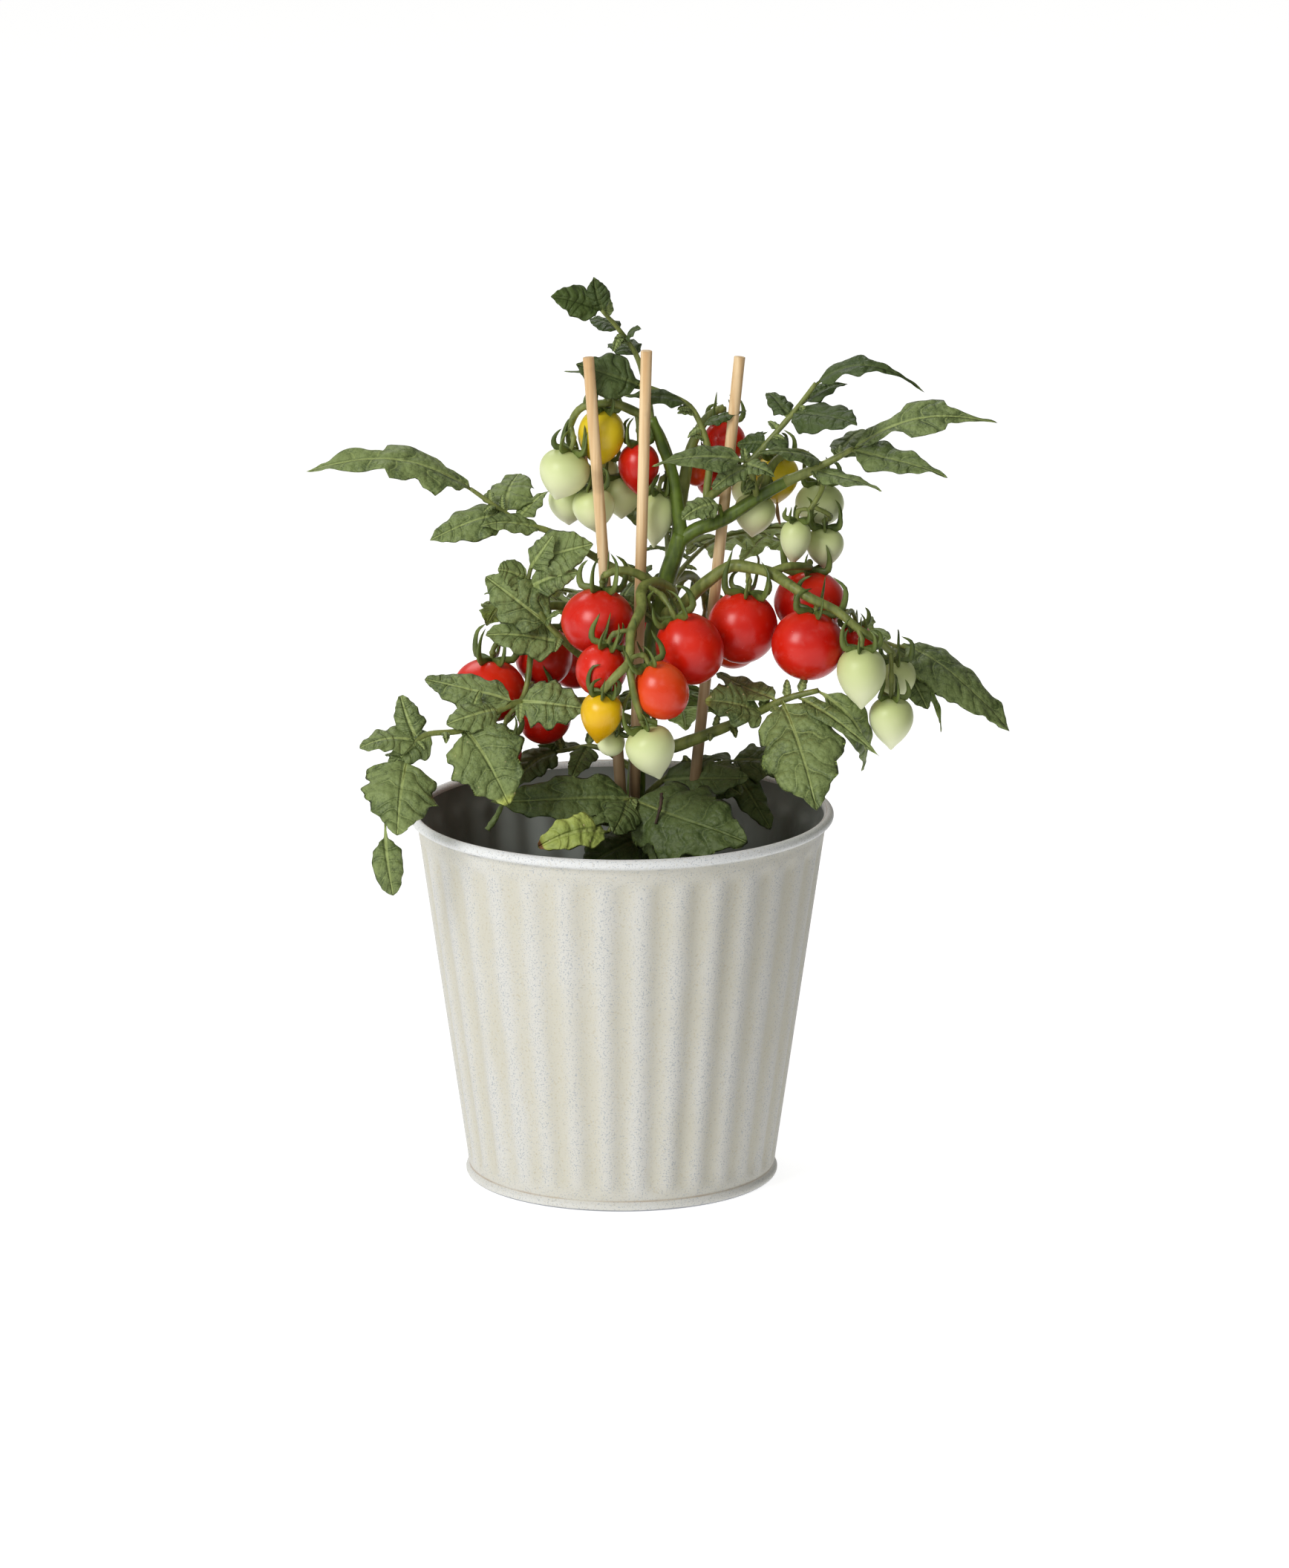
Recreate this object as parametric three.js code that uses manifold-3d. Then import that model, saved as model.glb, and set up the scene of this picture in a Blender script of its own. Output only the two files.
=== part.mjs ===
// A bush tomato plant in a fluted metal pot, in millimetres, +Z up.
// The origin is the middle of the pot's underside and the plant's front looks along -Y.
import * as THREE from "three";
import { mergeVertices } from "three/addons/utils/BufferGeometryUtils.js";
import Module from "manifold-3d";

const wasm = await Module();
wasm.setup();

// Pot: a rolled rim, a smooth band, 32 rounded flutes and a rolled foot
const potHeight = 150;
const rimRadius = 85;
const rimRoll = 2;
const footRadius = 62.8;
const sheet = 0.8;
const fluteCount = 32;
const fluteDepth = 1.3;
const columnsPerFlute = 2;
const wallBase = 61;
const wallSlope = 0.144;
const fluteFoot = 6;
const fluteTop = 141;
const fluteFade = 4.5;
const potFloor = 1.5;

// Soil, canes and the room that neighbouring pieces leave each other
const soilTop = 108;
const soilGap = 0.4;
const clearance = 0.35;
const caneRadius = 2.25;
const caneFoot = 30;
const bladeThickness = 0.8;
const bladeEdge = 0.62;
const detail = 0.08;

const canes = {
  cane_left: { soil: [3, -8, 112], top: [-13, -4, 335] },
  cane_middle: { soil: [4, 0, 112], top: [10, -6, 338] },
  cane_right: { soil: [24, 0, 108], top: [47, 12, 332] },
};

// Stems: a path and the radius at its two ends
const trunk = {
  path: [[3, 9, 70], [4, 8.5, 112], [7, 6, 176], [13, 4, 222], [17, 3, 240], [22, 3, 256], [24, 3, 262]],
  radius: [4.2, 3.4],
};
const trunkSides = 8;
const trunkSteps = 12;
const leftBranch = {
  path: [[24, 3, 260], [22.5, 4, 272], [20, 6, 287], [16, 8, 297], [12, 8, 308]],
  radius: [2.9, 1.9],
};
const rightBranch = {
  path: [[23, 3, 259], [30, 2, 264], [40, 1, 268], [55, 0, 278], [67, -1, 285]],
  radius: [3, 2.3],
};

// Blade outlines between base and tip: place along the midrib, half width, and how far a lobe
// points forward
const outlines = {
  broad: [
    [0.1, 0.14, 0], [0.2, 0.84, 0.05], [0.34, 0.58, 0], [0.46, 1, 0.07], [0.64, 0.6, 0], [0.74, 0.66, 0.06],
  ],
  plain: [[0.13, 0.22, 0], [0.3, 0.96, 0.05], [0.5, 0.66, 0], [0.62, 0.82, 0.06]],
  slender: [[0.26, 1, 0.03], [0.56, 0.8, 0.02]],
  longTip: [[0.16, 1, 0.03], [0.3, 0.7, 0], [0.42, 0.95, 0.04], [0.6, 0.34, 0]],
  frond: [
    [0.24, 0.05, 0], [0.3, 0.55, 0.05], [0.4, 0.42, 0.03], [0.44, 0.06, 0], [0.5, 0.07, 0],
    [0.56, 0.95, 0.08], [0.7, 0.6, 0.05], [0.72, 0.1, 0], [0.78, 0.55, 0.03], [0.86, 0.42, 0.02],
  ],
};

// Which way a blade's upper side faces
const flat = [0, -0.35, 0.94];
const tilted = [0, -0.6, 0.8];
const steep = [0, -0.86, 0.5];
const away = [0, 0.5, 0.86];

// Leaves: a rachis, then leaflets as [outline, place on the rachis, tip, width, arch, face]
const leaves = {
  leaf_upper_left: {
    path: [[16, 4, 237], [-5, 8, 248], [-28, 6, 262], [-41, 4, 267], [-60, 0, 281]],
    leaflets: [
      ["broad", 1, [-125, -10, 291], 24, 3, [-0.1, -0.5, 0.85]],
      ["plain", 0.86, [-76, -8, 262], 19, 3, tilted],
      ["plain", 0.8, [-41, 30, 282], 26, 2, flat],
      ["slender", 0.74, [-29, 16, 276], 9, 2, flat],
      ["plain", 0.72, [-34, -14, 272], 12, 2, flat],
    ],
  },
  leaf_middle_left: {
    path: [
      [12, 5, 213], [-2, 8, 206], [-15, 5, 211], [-25, -3, 221], [-32, -7, 230], [-39, -8, 243], [-37, -8, 252],
    ],
    leaflets: [
      ["broad", 0.52, [-52, -16, 225], 18, 2, tilted],
      ["broad", 0.68, [-53, -14, 240], 22, 2, steep],
      ["slender", 0.68, [-24, -12, 233], 8, 1, tilted],
      ["plain", 0.9, [-51, -10, 253], 14, 2, steep],
      ["broad", 1, [-28, -6, 269], 22, 2, steep],
      ["plain", 0.86, [-14, -11, 251], 15, 2, steep],
    ],
  },
  leaf_front_left: {
    path: [
      [6, 6, 184], [-8, 6, 190], [-13, -8, 196], [-24, -21, 199], [-42, -32, 201], [-62, -44, 193],
      [-79, -52, 192], [-86, -57, 180], [-90, -60, 161],
    ],
    leaflets: [
      ["broad", 0.45, [-14, -37, 200], 22, 3, steep],
      ["broad", 0.47, [-78, -26, 209], 21, 3, tilted],
      ["broad", 0.63, [-38, -54, 163], 36, 5, [0.1, -0.87, 0.48]],
      ["slender", 0.62, [-56, -36, 207], 11, 2, tilted],
      ["plain", 0.77, [-103, -58, 189], 15, 2, tilted],
      ["plain", 0.77, [-87, -44, 207], 13, 1, steep],
      ["broad", 0.83, [-88, -76, 158], 32, 4, [0.1, -0.88, 0.45]],
      ["slender", 1, [-86, -62, 133], 13, 2, steep],
    ],
  },
  leaf_top: {
    path: [[12, 8, 306], [10, 16, 318], [6, 19, 331], [-1, 17, 342], [-8, 12, 351]],
    leaflets: [
      ["plain", 1, [-28, 2, 357], 16, 2, tilted],
      ["slender", 0.97, [-10, 8, 365], 9, 1, steep],
      ["slender", 0.68, [8, 12, 343], 8, 2, tilted],
      ["plain", 0.5, [-4, 38, 332], 13, 3, flat],
      ["slender", 0.74, [-14, 30, 344], 10, 2, flat],
    ],
  },
  shoot_top: {
    path: [[36, 2, 266], [34, 5, 277], [35, 8, 290], [33, 8, 301], [27, 7, 313], [13, 6, 320], [7, 6, 322]],
    branches: [[[34, 5, 276], [42, 0, 283], [53, 0, 294], [61, 1, 303], [70, 0, 314], [77, -2, 324]]],
    leaflets: [
      ["broad", 1, [-18, 3, 331], 19, 2, steep],
      ["slender", 0.72, [1, -1, 319], 10, 3, tilted],
      ["slender", 0.92, [-23, 14, 326], 7, 2, tilted],
      ["slender", 0.55, [50, 12, 310], 7, 2, flat],
    ],
    branchLeaflets: [
      ["longTip", 1, [120, -8, 322], 15, 9, tilted],
      ["broad", 0.76, [93, -24, 311], 21, 3, tilted],
      ["slender", 0.84, [90, 12, 321], 9, 2, flat],
      ["plain", 0.74, [58, 12, 317], 10, 2, tilted],
      ["plain", 0.52, [46, 8, 297], 11, 2, steep],
      ["slender", 0.56, [66, -9, 295], 10, 2, steep],
    ],
  },
  leaf_centre: {
    path: [[54, 0, 277], [52, -6, 287], [49, -11, 294]],
    leaflets: [
      ["slender", 1, [12, -17, 293], 15, 6, tilted],
      ["slender", 0.98, [61, -16, 289], 9, 1, tilted],
      ["plain", 0.85, [36, -14, 284], 12, 2, tilted],
    ],
  },
  leaf_upper_right: {
    path: [[65, -1, 284], [80, -2, 291], [92, -3, 298]],
    leaflets: [
      ["longTip", 1, [149, -8, 310], 19, 8, tilted],
      ["slender", 0.95, [129, -20, 289], 17, 3, tilted],
      ["slender", 0.55, [54, -20, 299], 13, 4, flat],
      ["slender", 0.4, [103, -22, 284], 12, 2, flat],
      ["plain", 0.7, [98, 22, 300], 14, 3, flat],
    ],
  },
  leaf_front_right: {
    path: [[7, 6, 172], [14, 2, 174], [22, -4, 177], [46, -18, 190], [66, -28, 202], [78, -31, 206]],
    leaflets: [
      ["broad", 0.7, [33, -42, 203], 21, 3, tilted],
      ["broad", 0.82, [77, -68, 166], 34, 5, [-0.05, -0.9, 0.42]],
      ["slender", 0.9, [102, -50, 184], 10, 3, tilted],
      ["plain", 0.8, [38, -2, 206], 15, 1, flat],
      ["slender", 1, [90, -15, 172], 15, 8, [0.75, -0.6, 0.25]],
    ],
  },
  leaf_right: {
    path: [[17, 4, 229], [32, 16, 221], [48, 22, 216], [78, 27, 215], [102, 18, 215], [111, 10, 214]],
    leaflets: [
      ["broad", 1, [155, -1, 182], 29, 7, [0.35, -0.45, 0.82]],
      ["plain", 0.96, [122, -10, 193], 17, 3, steep],
      ["slender", 0.98, [127, 4, 180], 9, 6, [0.8, -0.4, 0.3]],
      ["slender", 0.82, [100, 2, 228], 8, 2, flat],
      ["plain", 0.8, [104, 46, 206], 20, 4, away],
    ],
  },
  leaf_low_front: {
    path: [[5, 8, 123], [11, 1, 130], [12, -8, 140], [8, -18, 150], [0, -25, 154]],
    leaflets: [
      ["broad", 0.84, [49, -46, 147], 32, 4, [0.05, -0.72, 0.7]],
      ["broad", 0.93, [-52, -30, 159], 19, 3, tilted],
      ["plain", 1, [-33, -46, 148], 14, 2, [0, 0.62, 0.78]],
      ["plain", 1, [9, -38, 164], 16, 2, steep],
      ["plain", 0.97, [-22, -36, 153], 12, 1, tilted],
    ],
  },
  leaf_low_right: {
    path: [[6, 8, 150], [19, 14, 160], [31, 20, 162], [44, 24, 164]],
    leaflets: [
      ["broad", 1, [71, 20, 161], 21, 4, tilted],
      ["plain", 0.92, [60, 6, 140], 17, 3, [0.4, -0.8, 0.45]],
      ["broad", 0.7, [48, -2, 156], 22, 3, steep],
      ["plain", 0.75, [40, 46, 158], 18, 4, away],
    ],
  },
  leaf_low_left: {
    path: [[5, 8, 164], [-10, 14, 172], [-26, 18, 169]],
    leaflets: [
      ["broad", 1, [-45, 8, 156], 15, 3, tilted],
      ["plain", 0.85, [-30, 42, 160], 18, 4, away],
      ["plain", 0.6, [-20, -6, 163], 12, 2, tilted],
    ],
  },
  leaf_back_left: {
    path: [[10, 6, 204], [2, 26, 216], [-12, 44, 226]],
    leaflets: [["frond", 1, [-64, 86, 208], 58, 9, away], ["plain", 0.7, [12, 60, 236], 15, 3, away]],
  },
  leaf_back_right: {
    path: [[16, 4, 236], [26, 24, 245], [33, 38, 249]],
    leaflets: [["frond", 1, [72, 90, 234], 58, 8, away], ["plain", 0.7, [8, 48, 244], 14, 3, away]],
  },
  leaf_back_top: {
    path: [[19, 3, 247], [18, 20, 258], [14, 34, 266]],
    leaflets: [["frond", 1, [-14, 92, 258], 52, 8, away], ["plain", 0.75, [-12, 34, 268], 14, 2, flat]],
  },
  leaf_back_low: {
    path: [[7, 6, 178], [11, 26, 188], [13, 36, 190]],
    leaflets: [["frond", 1, [26, 100, 158], 58, 8, away], ["plain", 0.85, [40, 42, 178], 15, 3, away]],
  },
};

// A small curled leaf on the right branch, which belongs to the stem's own piece
const stemLeaf = {
  path: [[40, 1, 268], [39, -4, 275]],
  leaflets: [["plain", 1, [24, -13, 271], 13, 3, tilted]],
};

// Trusses: stalk paths, each with the radius at its two ends
const trusses = {
  truss_front: [
    [[[17, 3, 238], [20, -4, 240], [13, -14, 246], [8, -24, 245], [8, -34, 240], [4, -44, 233], [3, -54, 223],
      [-1, -57, 219], [-5, -58, 215], [-7, -56, 212]], [2.2, 1.3]],
    [[[12, -15, 246], [6, -20, 251], [-1, -23, 253], [-7, -24, 251]], [1.6, 1.2]],
    [[[3, -54, 223], [5, -58, 211], [8, -54, 200]], [1.3, 1.1]],
  ],
  truss_right: [
    [[[15, 4, 229], [22, -1, 232], [32, -7, 243], [44, -11, 252], [50, -13, 252], [59, -14, 250],
      [66, -21, 247],
      [74, -27, 243], [85, -29, 238], [94, -32, 231], [102, -27, 225], [108, -20, 218]], [2.4, 1.2]],
    [[[59, -14, 250], [66, -12, 252], [72, -7, 251], [75, 0, 249]], [1.5, 1.2]],
  ],
  truss_left: [
    [[[8, 6, 192], [0, 16, 212], [-12, 22, 224], [-28, 20, 229], [-42, 14, 223], [-50, 12, 215]], [2, 1.3]],
    [[[-34, 18, 227], [-36, 4, 214], [-38, -3, 200], [-41, -3, 193]], [1.4, 1.1]],
  ],
  truss_upper_left: [
    [[[22, 3, 256], [23, 13, 269], [20, 16, 284], [17, 16, 295], [12, 14, 305], [3, 11, 311], [-6, 9, 315]],
      [2.4, 1.4]],
    [[[-4, 9, 314], [-16, 8, 312], [-21, 13, 300], [-19, 14, 291]], [1.4, 1]],
    [[[23, 13, 269], [25, 15, 280], [27, 17, 291], [31, 20, 301], [36, 22, 307], [41, 23, 309]], [2.2, 1.3]],
    [[[13, 15, 303], [8, 21, 295], [2, 23, 289]], [1.2, 1]],
  ],
  truss_upper_right: [
    [[[56, 0, 278], [61, 9, 290], [70, 14, 293], [79, 11, 288], [80, 2, 281], [75, -2, 273]], [1.9, 1.2]],
    [[[76, -1, 274], [83, 1, 270], [83, 7, 267]], [1.1, 0.9]],
  ],
  truss_back: [
    [[[14, 5, 228], [20, 22, 238], [28, 38, 237], [33, 48, 228], [34, 54, 220]], [2, 1.2]],
  ],
};

const joined = true;
// Fruits: tone, middle, [width, height], the way up to the calyx, where the side stalk starts and how
// pointed the lower end is; a joined fruit is unripe and stays one piece with its truss
const fruitLists = {
  truss_front: {
    tomato_front_1: ["red", [-9, -23, 232], [29.4, 26.7], [0.1, 0.1, 1], [-7, -24, 251], 0],
    tomato_front_2: ["red", [-8, -42, 217], [20.2, 21.4], [0.3, -0.1, 1], [4, -43, 233], 0],
    tomato_front_3: ["orange", [16, -52, 211], [21.1, 23.8], [-0.5, 0, 1], [3, -54, 224], 0],
    tomato_front_4: ["red", [27, -31, 223], [26.7, 29.4], [-0.45, -0.1, 1], [9, -19, 246], 0],
    tomato_front_5: ["yellow", [-8, -52, 200], [16.6, 20.5], [0.15, -0.15, 1], [-7, -56, 213], 1],
    tomato_front_6: ["pale", [-4, -40, 187], [11, 11], [0.4, -0.3, 1], [5, -57, 213], 0, joined],
    tomato_front_7: ["pale", [12, -52, 186], [19.6, 21.1], [-0.3, 0, 1], [8, -54, 201], 1],
  },
  truss_right: {
    tomato_right_1: ["red", [48, -10, 227], [27.9, 29.4], [0.15, -0.05, 1], [50, -13, 252], 0],
    tomato_right_2: ["red", [75, 4, 234], [28.6, 25.6], [0, 0, 1], [75, 0, 249], 0],
    tomato_right_3: ["red", [74, -24, 223], [29.1, 28.2], [0.2, -0.05, 1], [75, -27, 243], 0],
    tomato_right_4: ["pale", [95, -34, 212], [19.6, 23.8], [0, 0, 1], [93, -32, 232], 1],
    tomato_right_5: ["pale", [109, -10, 205], [16.6, 17.6], [0, -0.2, 1], [108, -20, 218], 1, joined],
    tomato_right_6: ["pale", [107, -27, 192], [17.8, 20.5], [0, 0, 1], [107, -22, 219], 1],
    tomato_right_7: ["red", [93, -6, 220], [14.9, 14.9], [0, -0.3, 1], [88, -30, 236], 0],
  },
  truss_left: {
    tomato_left_1: ["red", [-53, 12, 196], [29.7, 25.6], [0.1, 0, 1], [-50, 12, 215], 0],
    tomato_left_2: ["red", [-31, 24, 207], [23.2, 24.4], [0, 0, 1], [-28, 20, 229], 0],
    tomato_left_3: ["red", [-19, 45, 199], [20.8, 20.2], [0.2, -0.2, 1], [-12, 22, 224], 0],
    tomato_left_4: ["red", [-50, 2, 173], [20.2, 19.6], [0.3, -0.2, 1], [-41, -3, 193], 0],
    tomato_left_5: ["red", [-31, 14, 184], [21.4, 20.8], [-0.3, -0.3, 1], [-38, -3, 200], 0],
  },
  truss_upper_left: {
    tomato_upper_left_1: ["yellow", [-8, 9, 300], [18.7, 22.6], [0.1, 0, 1], [-6, 9, 315], 0.5],
    tomato_upper_left_2: ["red", [7, 10, 287], [16.4, 20.8], [0, 0, 1], [6, 12, 309], 0.7],
    tomato_upper_left_3: ["pale", [-23, 4, 286], [20.5, 20.2], [0.3, 0, 1], [-20, 11, 304], 0.8],
    tomato_upper_left_4: ["pale", [-21, 22, 270], [16.4, 16.6], [0, -0.1, 1], [-19, 14, 291], 0.8, joined],
    tomato_upper_left_5: ["pale", [-11, 7, 271], [17, 17.2], [-0.1, 0.1, 1], [-19, 14, 292], 0.8],
    tomato_upper_left_6: ["pale", [0, 21, 273], [16, 16.6], [0, 0, 1], [2, 23, 289], 0.8, joined],
    tomato_upper_left_7: ["pale", [14, 8, 267], [13.4, 22], [0.1, 0, 1], [20, 16, 284], 1],
    tomato_top_1: ["red", [41, 24, 295], [17.2, 17.2], [0, 0, 1], [41, 23, 309], 0],
    tomato_top_2: ["orange", [30, 25, 282], [10.1, 10.7], [0.1, -0.2, 1], [27, 17, 289], 0],
    tomato_top_3: ["red", [37, 38, 276], [14.3, 13.1], [0, -0.3, 1], [28, 17, 294], 0],
  },
  truss_upper_right: {
    tomato_upper_right_1: ["yellow", [62, 23, 280], [17.6, 19.9], [0, -0.1, 1], [66, 13, 293], 0.8],
    tomato_upper_right_2: ["pale", [50, 36, 272], [12, 12.6], [0.2, -0.2, 1], [64, 12, 293], 0.5, joined],
    tomato_upper_right_3: ["pale", [53, 11, 268], [16.6, 17.2], [0.1, -0.05, 1], [60, 6, 288], 0.9],
    tomato_upper_right_4: ["pale", [79, 21, 270], [19.6, 17.8], [0, -0.1, 1], [77, 12, 290], 0.2],
    tomato_upper_right_5: ["pale", [69, -2, 260], [12.4, 17.6], [0.1, 0, 1], [75, -2, 273], 1],
    tomato_upper_right_6: ["pale", [81, 9, 255], [15.2, 16.2], [0, 0, 1], [83, 7, 267], 0.9],
  },
  truss_back: {
    tomato_back_1: ["red", [19, 51, 212], [24, 23], [0.2, -0.1, 1], [28, 39, 237], 0],
    tomato_back_2: ["orange", [45, 46, 208], [22, 22], [-0.2, 0, 1], [32, 46, 231], 0],
    tomato_back_3: ["pale", [33, 62, 201], [14, 16], [0, -0.2, 1], [34, 54, 221], 1, joined],
  },
};
const fruits = {};
for (const [truss, list] of Object.entries(fruitLists)) {
  for (const [name, [tone, at, size, axis, from, point, isJoined]] of Object.entries(list)) {
    fruits[name] = { truss, tone, at, size, axis, from, point, joined: isJoined };
  }
}

// Fruit and calyx shapes
const largeFruit = 20;
const sepalCount = 5;
const stalkRadius = [1, 1.3];
const sepalNotch = 2.3;
const calyxThickness = 1.9;
const crownGap = 0.4;
const shoulder = 0.44;

// Colours and finishes
const finishes = {
  pot: { color: 0xd6d3c8, roughness: 0.62, metalness: 0.1 },
  soil: { color: 0x35261b, roughness: 1, metalness: 0 },
  cane: { color: 0xd9b98a, roughness: 0.7, metalness: 0 },
  stem: { color: 0x6a8a45, roughness: 0.7, metalness: 0 },
  leaf: { color: 0x4d6a3a, roughness: 0.65, metalness: 0 },
  red: { color: 0xc8150e, roughness: 0.3, metalness: 0 },
  orange: { color: 0xdc3a14, roughness: 0.3, metalness: 0 },
  yellow: { color: 0xe0b41c, roughness: 0.35, metalness: 0 },
  pale: { color: 0xc3d29a, roughness: 0.4, metalness: 0 },
};

const vector = (point) => new THREE.Vector3(...point);
const curveThrough = (path) => new THREE.CatmullRomCurve3(path.map(vector), false, "centripetal");

// A closed solid from a geometry, with its faces turned outward
function solidOf(geometry) {
  const bare = geometry.clone();
  bare.deleteAttribute("normal");
  bare.deleteAttribute("uv");
  const merged = mergeVertices(bare, 1e-4);
  const place = merged.attributes.position;
  const index = merged.index.array;
  const corners = [new THREE.Vector3(), new THREE.Vector3(), new THREE.Vector3()];
  const kept = [];
  let volume = 0;
  for (let i = 0; i < index.length; i += 3) {
    const [a, b, c] = [index[i], index[i + 1], index[i + 2]];
    if (a === b || b === c || c === a) continue;
    corners.forEach((corner, k) => corner.fromBufferAttribute(place, [a, b, c][k]));
    volume += corners[0].dot(corners[1].clone().cross(corners[2]));
    kept.push(a, b, c);
  }
  if (volume < 0) kept.reverse();
  const mesh = new wasm.Mesh({
    numProp: 3,
    vertProperties: new Float32Array(place.array),
    triVerts: new Uint32Array(kept),
  });
  return new wasm.Manifold(mesh);
}

function geometryOf(solid) {
  const mesh = solid.getMesh();
  const geometry = new THREE.BufferGeometry();
  geometry.setAttribute("position", new THREE.BufferAttribute(new Float32Array(mesh.vertProperties), 3));
  geometry.setIndex(new THREE.BufferAttribute(new Uint32Array(mesh.triVerts), 1));
  geometry.computeVertexNormals();
  return geometry;
}

// A tapered round stem: a closed cylinder whose rings are laid along a curve
function stemSolid(path, radius, sides, steps, grow = 0) {
  const curve = curveThrough(path);
  const frames = curve.computeFrenetFrames(steps, false);
  const stem = new THREE.CylinderGeometry(radius[1] + grow, radius[0] + grow, 1, sides, steps);
  const place = stem.attributes.position;
  for (let i = 0; i < place.count; i += 1) {
    const step = Math.round((place.getY(i) + 0.5) * steps);
    const centre = curve.getPointAt(step / steps);
    centre.addScaledVector(frames.normals[step], place.getX(i));
    centre.addScaledVector(frames.binormals[step], place.getZ(i));
    place.setXYZ(i, centre.x, centre.y, centre.z);
  }
  return solidOf(stem);
}

// A thin arched leaflet, split alike on both faces: rows of left edge, midrib and right edge lie
// between a base and a tip that are each one upright edge
function bladeSolid(base, leaflet, grow = 0) {
  const [outline, , tipPoint, width, arch, face] = leaflet;
  const tip = vector(tipPoint);
  const facing = vector(face).normalize();
  const control = base.clone().add(tip).multiplyScalar(0.5).addScaledVector(facing, 2 * arch);
  const midrib = new THREE.QuadraticBezierCurve3(base, control, tip);
  const positions = [];
  const addPair = (point, normal, thickness) => {
    const lift = normal.clone().multiplyScalar(thickness / 2 + grow);
    positions.push(...point.clone().add(lift).toArray(), ...point.clone().sub(lift).toArray());
  };
  const across = (along) => {
    const tangent = midrib.getTangent(along);
    const side = tangent.clone().cross(facing).normalize();
    return { tangent, side, normal: side.clone().cross(tangent).normalize() };
  };
  const start = across(0);
  addPair(base.clone().addScaledVector(start.tangent, -grow), start.normal, bladeThickness);
  const rows = outlines[outline];
  rows.forEach(([along, half, forward], row) => {
    const { tangent, side, normal } = across(along);
    const reach = (half * width) / 2 + grow;
    const sag = 0.16 * reach * (row % 2 ? 0.7 : 1.3);
    const middle = midrib.getPoint(along);
    for (const hand of [-1, 0, 1]) {
      const point = middle.clone().addScaledVector(side, hand * reach);
      if (hand !== 0) point.addScaledVector(normal, -sag);
      if (hand !== 0) point.addScaledVector(tangent, forward * midrib.getLength());
      addPair(point, normal, hand ? bladeEdge : bladeThickness);
    }
  });
  const end = across(1);
  addPair(tip.clone().addScaledVector(end.tangent, grow), end.normal, bladeEdge);
  const triangles = [];
  const quad = (a, b, c, d) => triangles.push(a, b, c, a, c, d);
  // Numbers of a row's upper points, each followed by its lower point
  const rowStart = (row) => 2 + 6 * row;
  const [left, middle, right] = [0, 2, 4];
  const wrap = (from, to) => {
    quad(from[0], from[0] + 1, to[0] + 1, to[0]);
    quad(from[2] + 1, from[2], to[2], to[2] + 1);
  };
  const first = rowStart(0);
  const firstRow = [first + left, first + middle, first + right];
  wrap([0, 0, 0], firstRow);
  triangles.push(0, firstRow[0], firstRow[1], 0, firstRow[1], firstRow[2]);
  triangles.push(1, firstRow[1] + 1, firstRow[0] + 1, 1, firstRow[2] + 1, firstRow[1] + 1);
  for (let row = 0; row < rows.length - 1; row += 1) {
    const here = [left, middle, right].map((place) => rowStart(row) + place);
    const next = here.map((place) => place + 6);
    quad(here[0], next[0], next[1], here[1]);
    quad(here[1], next[1], next[2], here[2]);
    quad(here[1] + 1, next[1] + 1, next[0] + 1, here[0] + 1);
    triangles.push(here[2] + 1, next[2] + 1, next[1] + 1, here[2] + 1, next[1] + 1, here[1] + 1);
    wrap(here, next);
  }
  const lastRow = [left, middle, right].map((place) => rowStart(rows.length - 1) + place);
  const point = rowStart(rows.length);
  wrap(lastRow, [point, point, point]);
  triangles.push(lastRow[0], point, lastRow[1], lastRow[1], point, lastRow[2]);
  triangles.push(lastRow[1] + 1, point + 1, lastRow[0] + 1, lastRow[2] + 1, point + 1, lastRow[1] + 1);
  const blade = new THREE.BufferGeometry();
  blade.setAttribute("position", new THREE.Float32BufferAttribute(positions, 3));
  blade.setIndex(triangles);
  return solidOf(blade);
}

// A leaf's rachis and leaflets, joined
function leafSolid(leaf, grow = 0) {
  const paths = [leaf.path, ...(leaf.branches ?? [])];
  const sets = [leaf.leaflets, leaf.branchLeaflets];
  const pieces = [];
  paths.forEach((path, i) => {
    const steps = path.length + 1;
    pieces.push(stemSolid(path, [1.7, 0.95], 4, steps, grow));
    const rings = curveThrough(path).getSpacedPoints(steps);
    for (const leaflet of sets[i]) {
      const at = Math.min(leaflet[1], 0.985) * steps;
      const root = rings[Math.floor(at)].clone().lerp(rings[Math.ceil(at)], at % 1);
      const outward = vector(leaflet[2]).sub(root).normalize();
      pieces.push(bladeSolid(root.addScaledVector(outward, -0.5), leaflet, grow));
    }
  });
  return wasm.Manifold.union(pieces);
}

// A tomato: a turned profile with a dimple under the calyx and a blunt or pointed lower end
function fruitSolid(fruit, grow = 0) {
  const [width, height] = fruit.size;
  const around = width > largeFruit ? 10 : 8;
  const rows = width > largeFruit ? 5 : 4;
  const outer = [new THREE.Vector2(0, -height / 2 - grow)];
  for (let row = 1; row <= rows; row += 1) {
    const angle = -Math.PI / 2 + (Math.PI * row) / (rows + 1);
    const lower = angle < 0 ? fruit.point : 0;
    const round = Math.cos(angle) ** (1 + 0.5 * lower);
    outer.push(new THREE.Vector2((width / 2) * round + grow, Math.sin(angle) * (height / 2 + grow)));
  }
  outer.push(new THREE.Vector2(0, shoulder * height + grow));
  const lathe = new THREE.LatheGeometry(outer, around);
  const axis = vector(fruit.axis).normalize();
  lathe.applyQuaternion(new THREE.Quaternion().setFromUnitVectors(new THREE.Vector3(0, 1, 0), axis));
  lathe.translate(...fruit.at);
  return solidOf(lathe);
}

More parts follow.
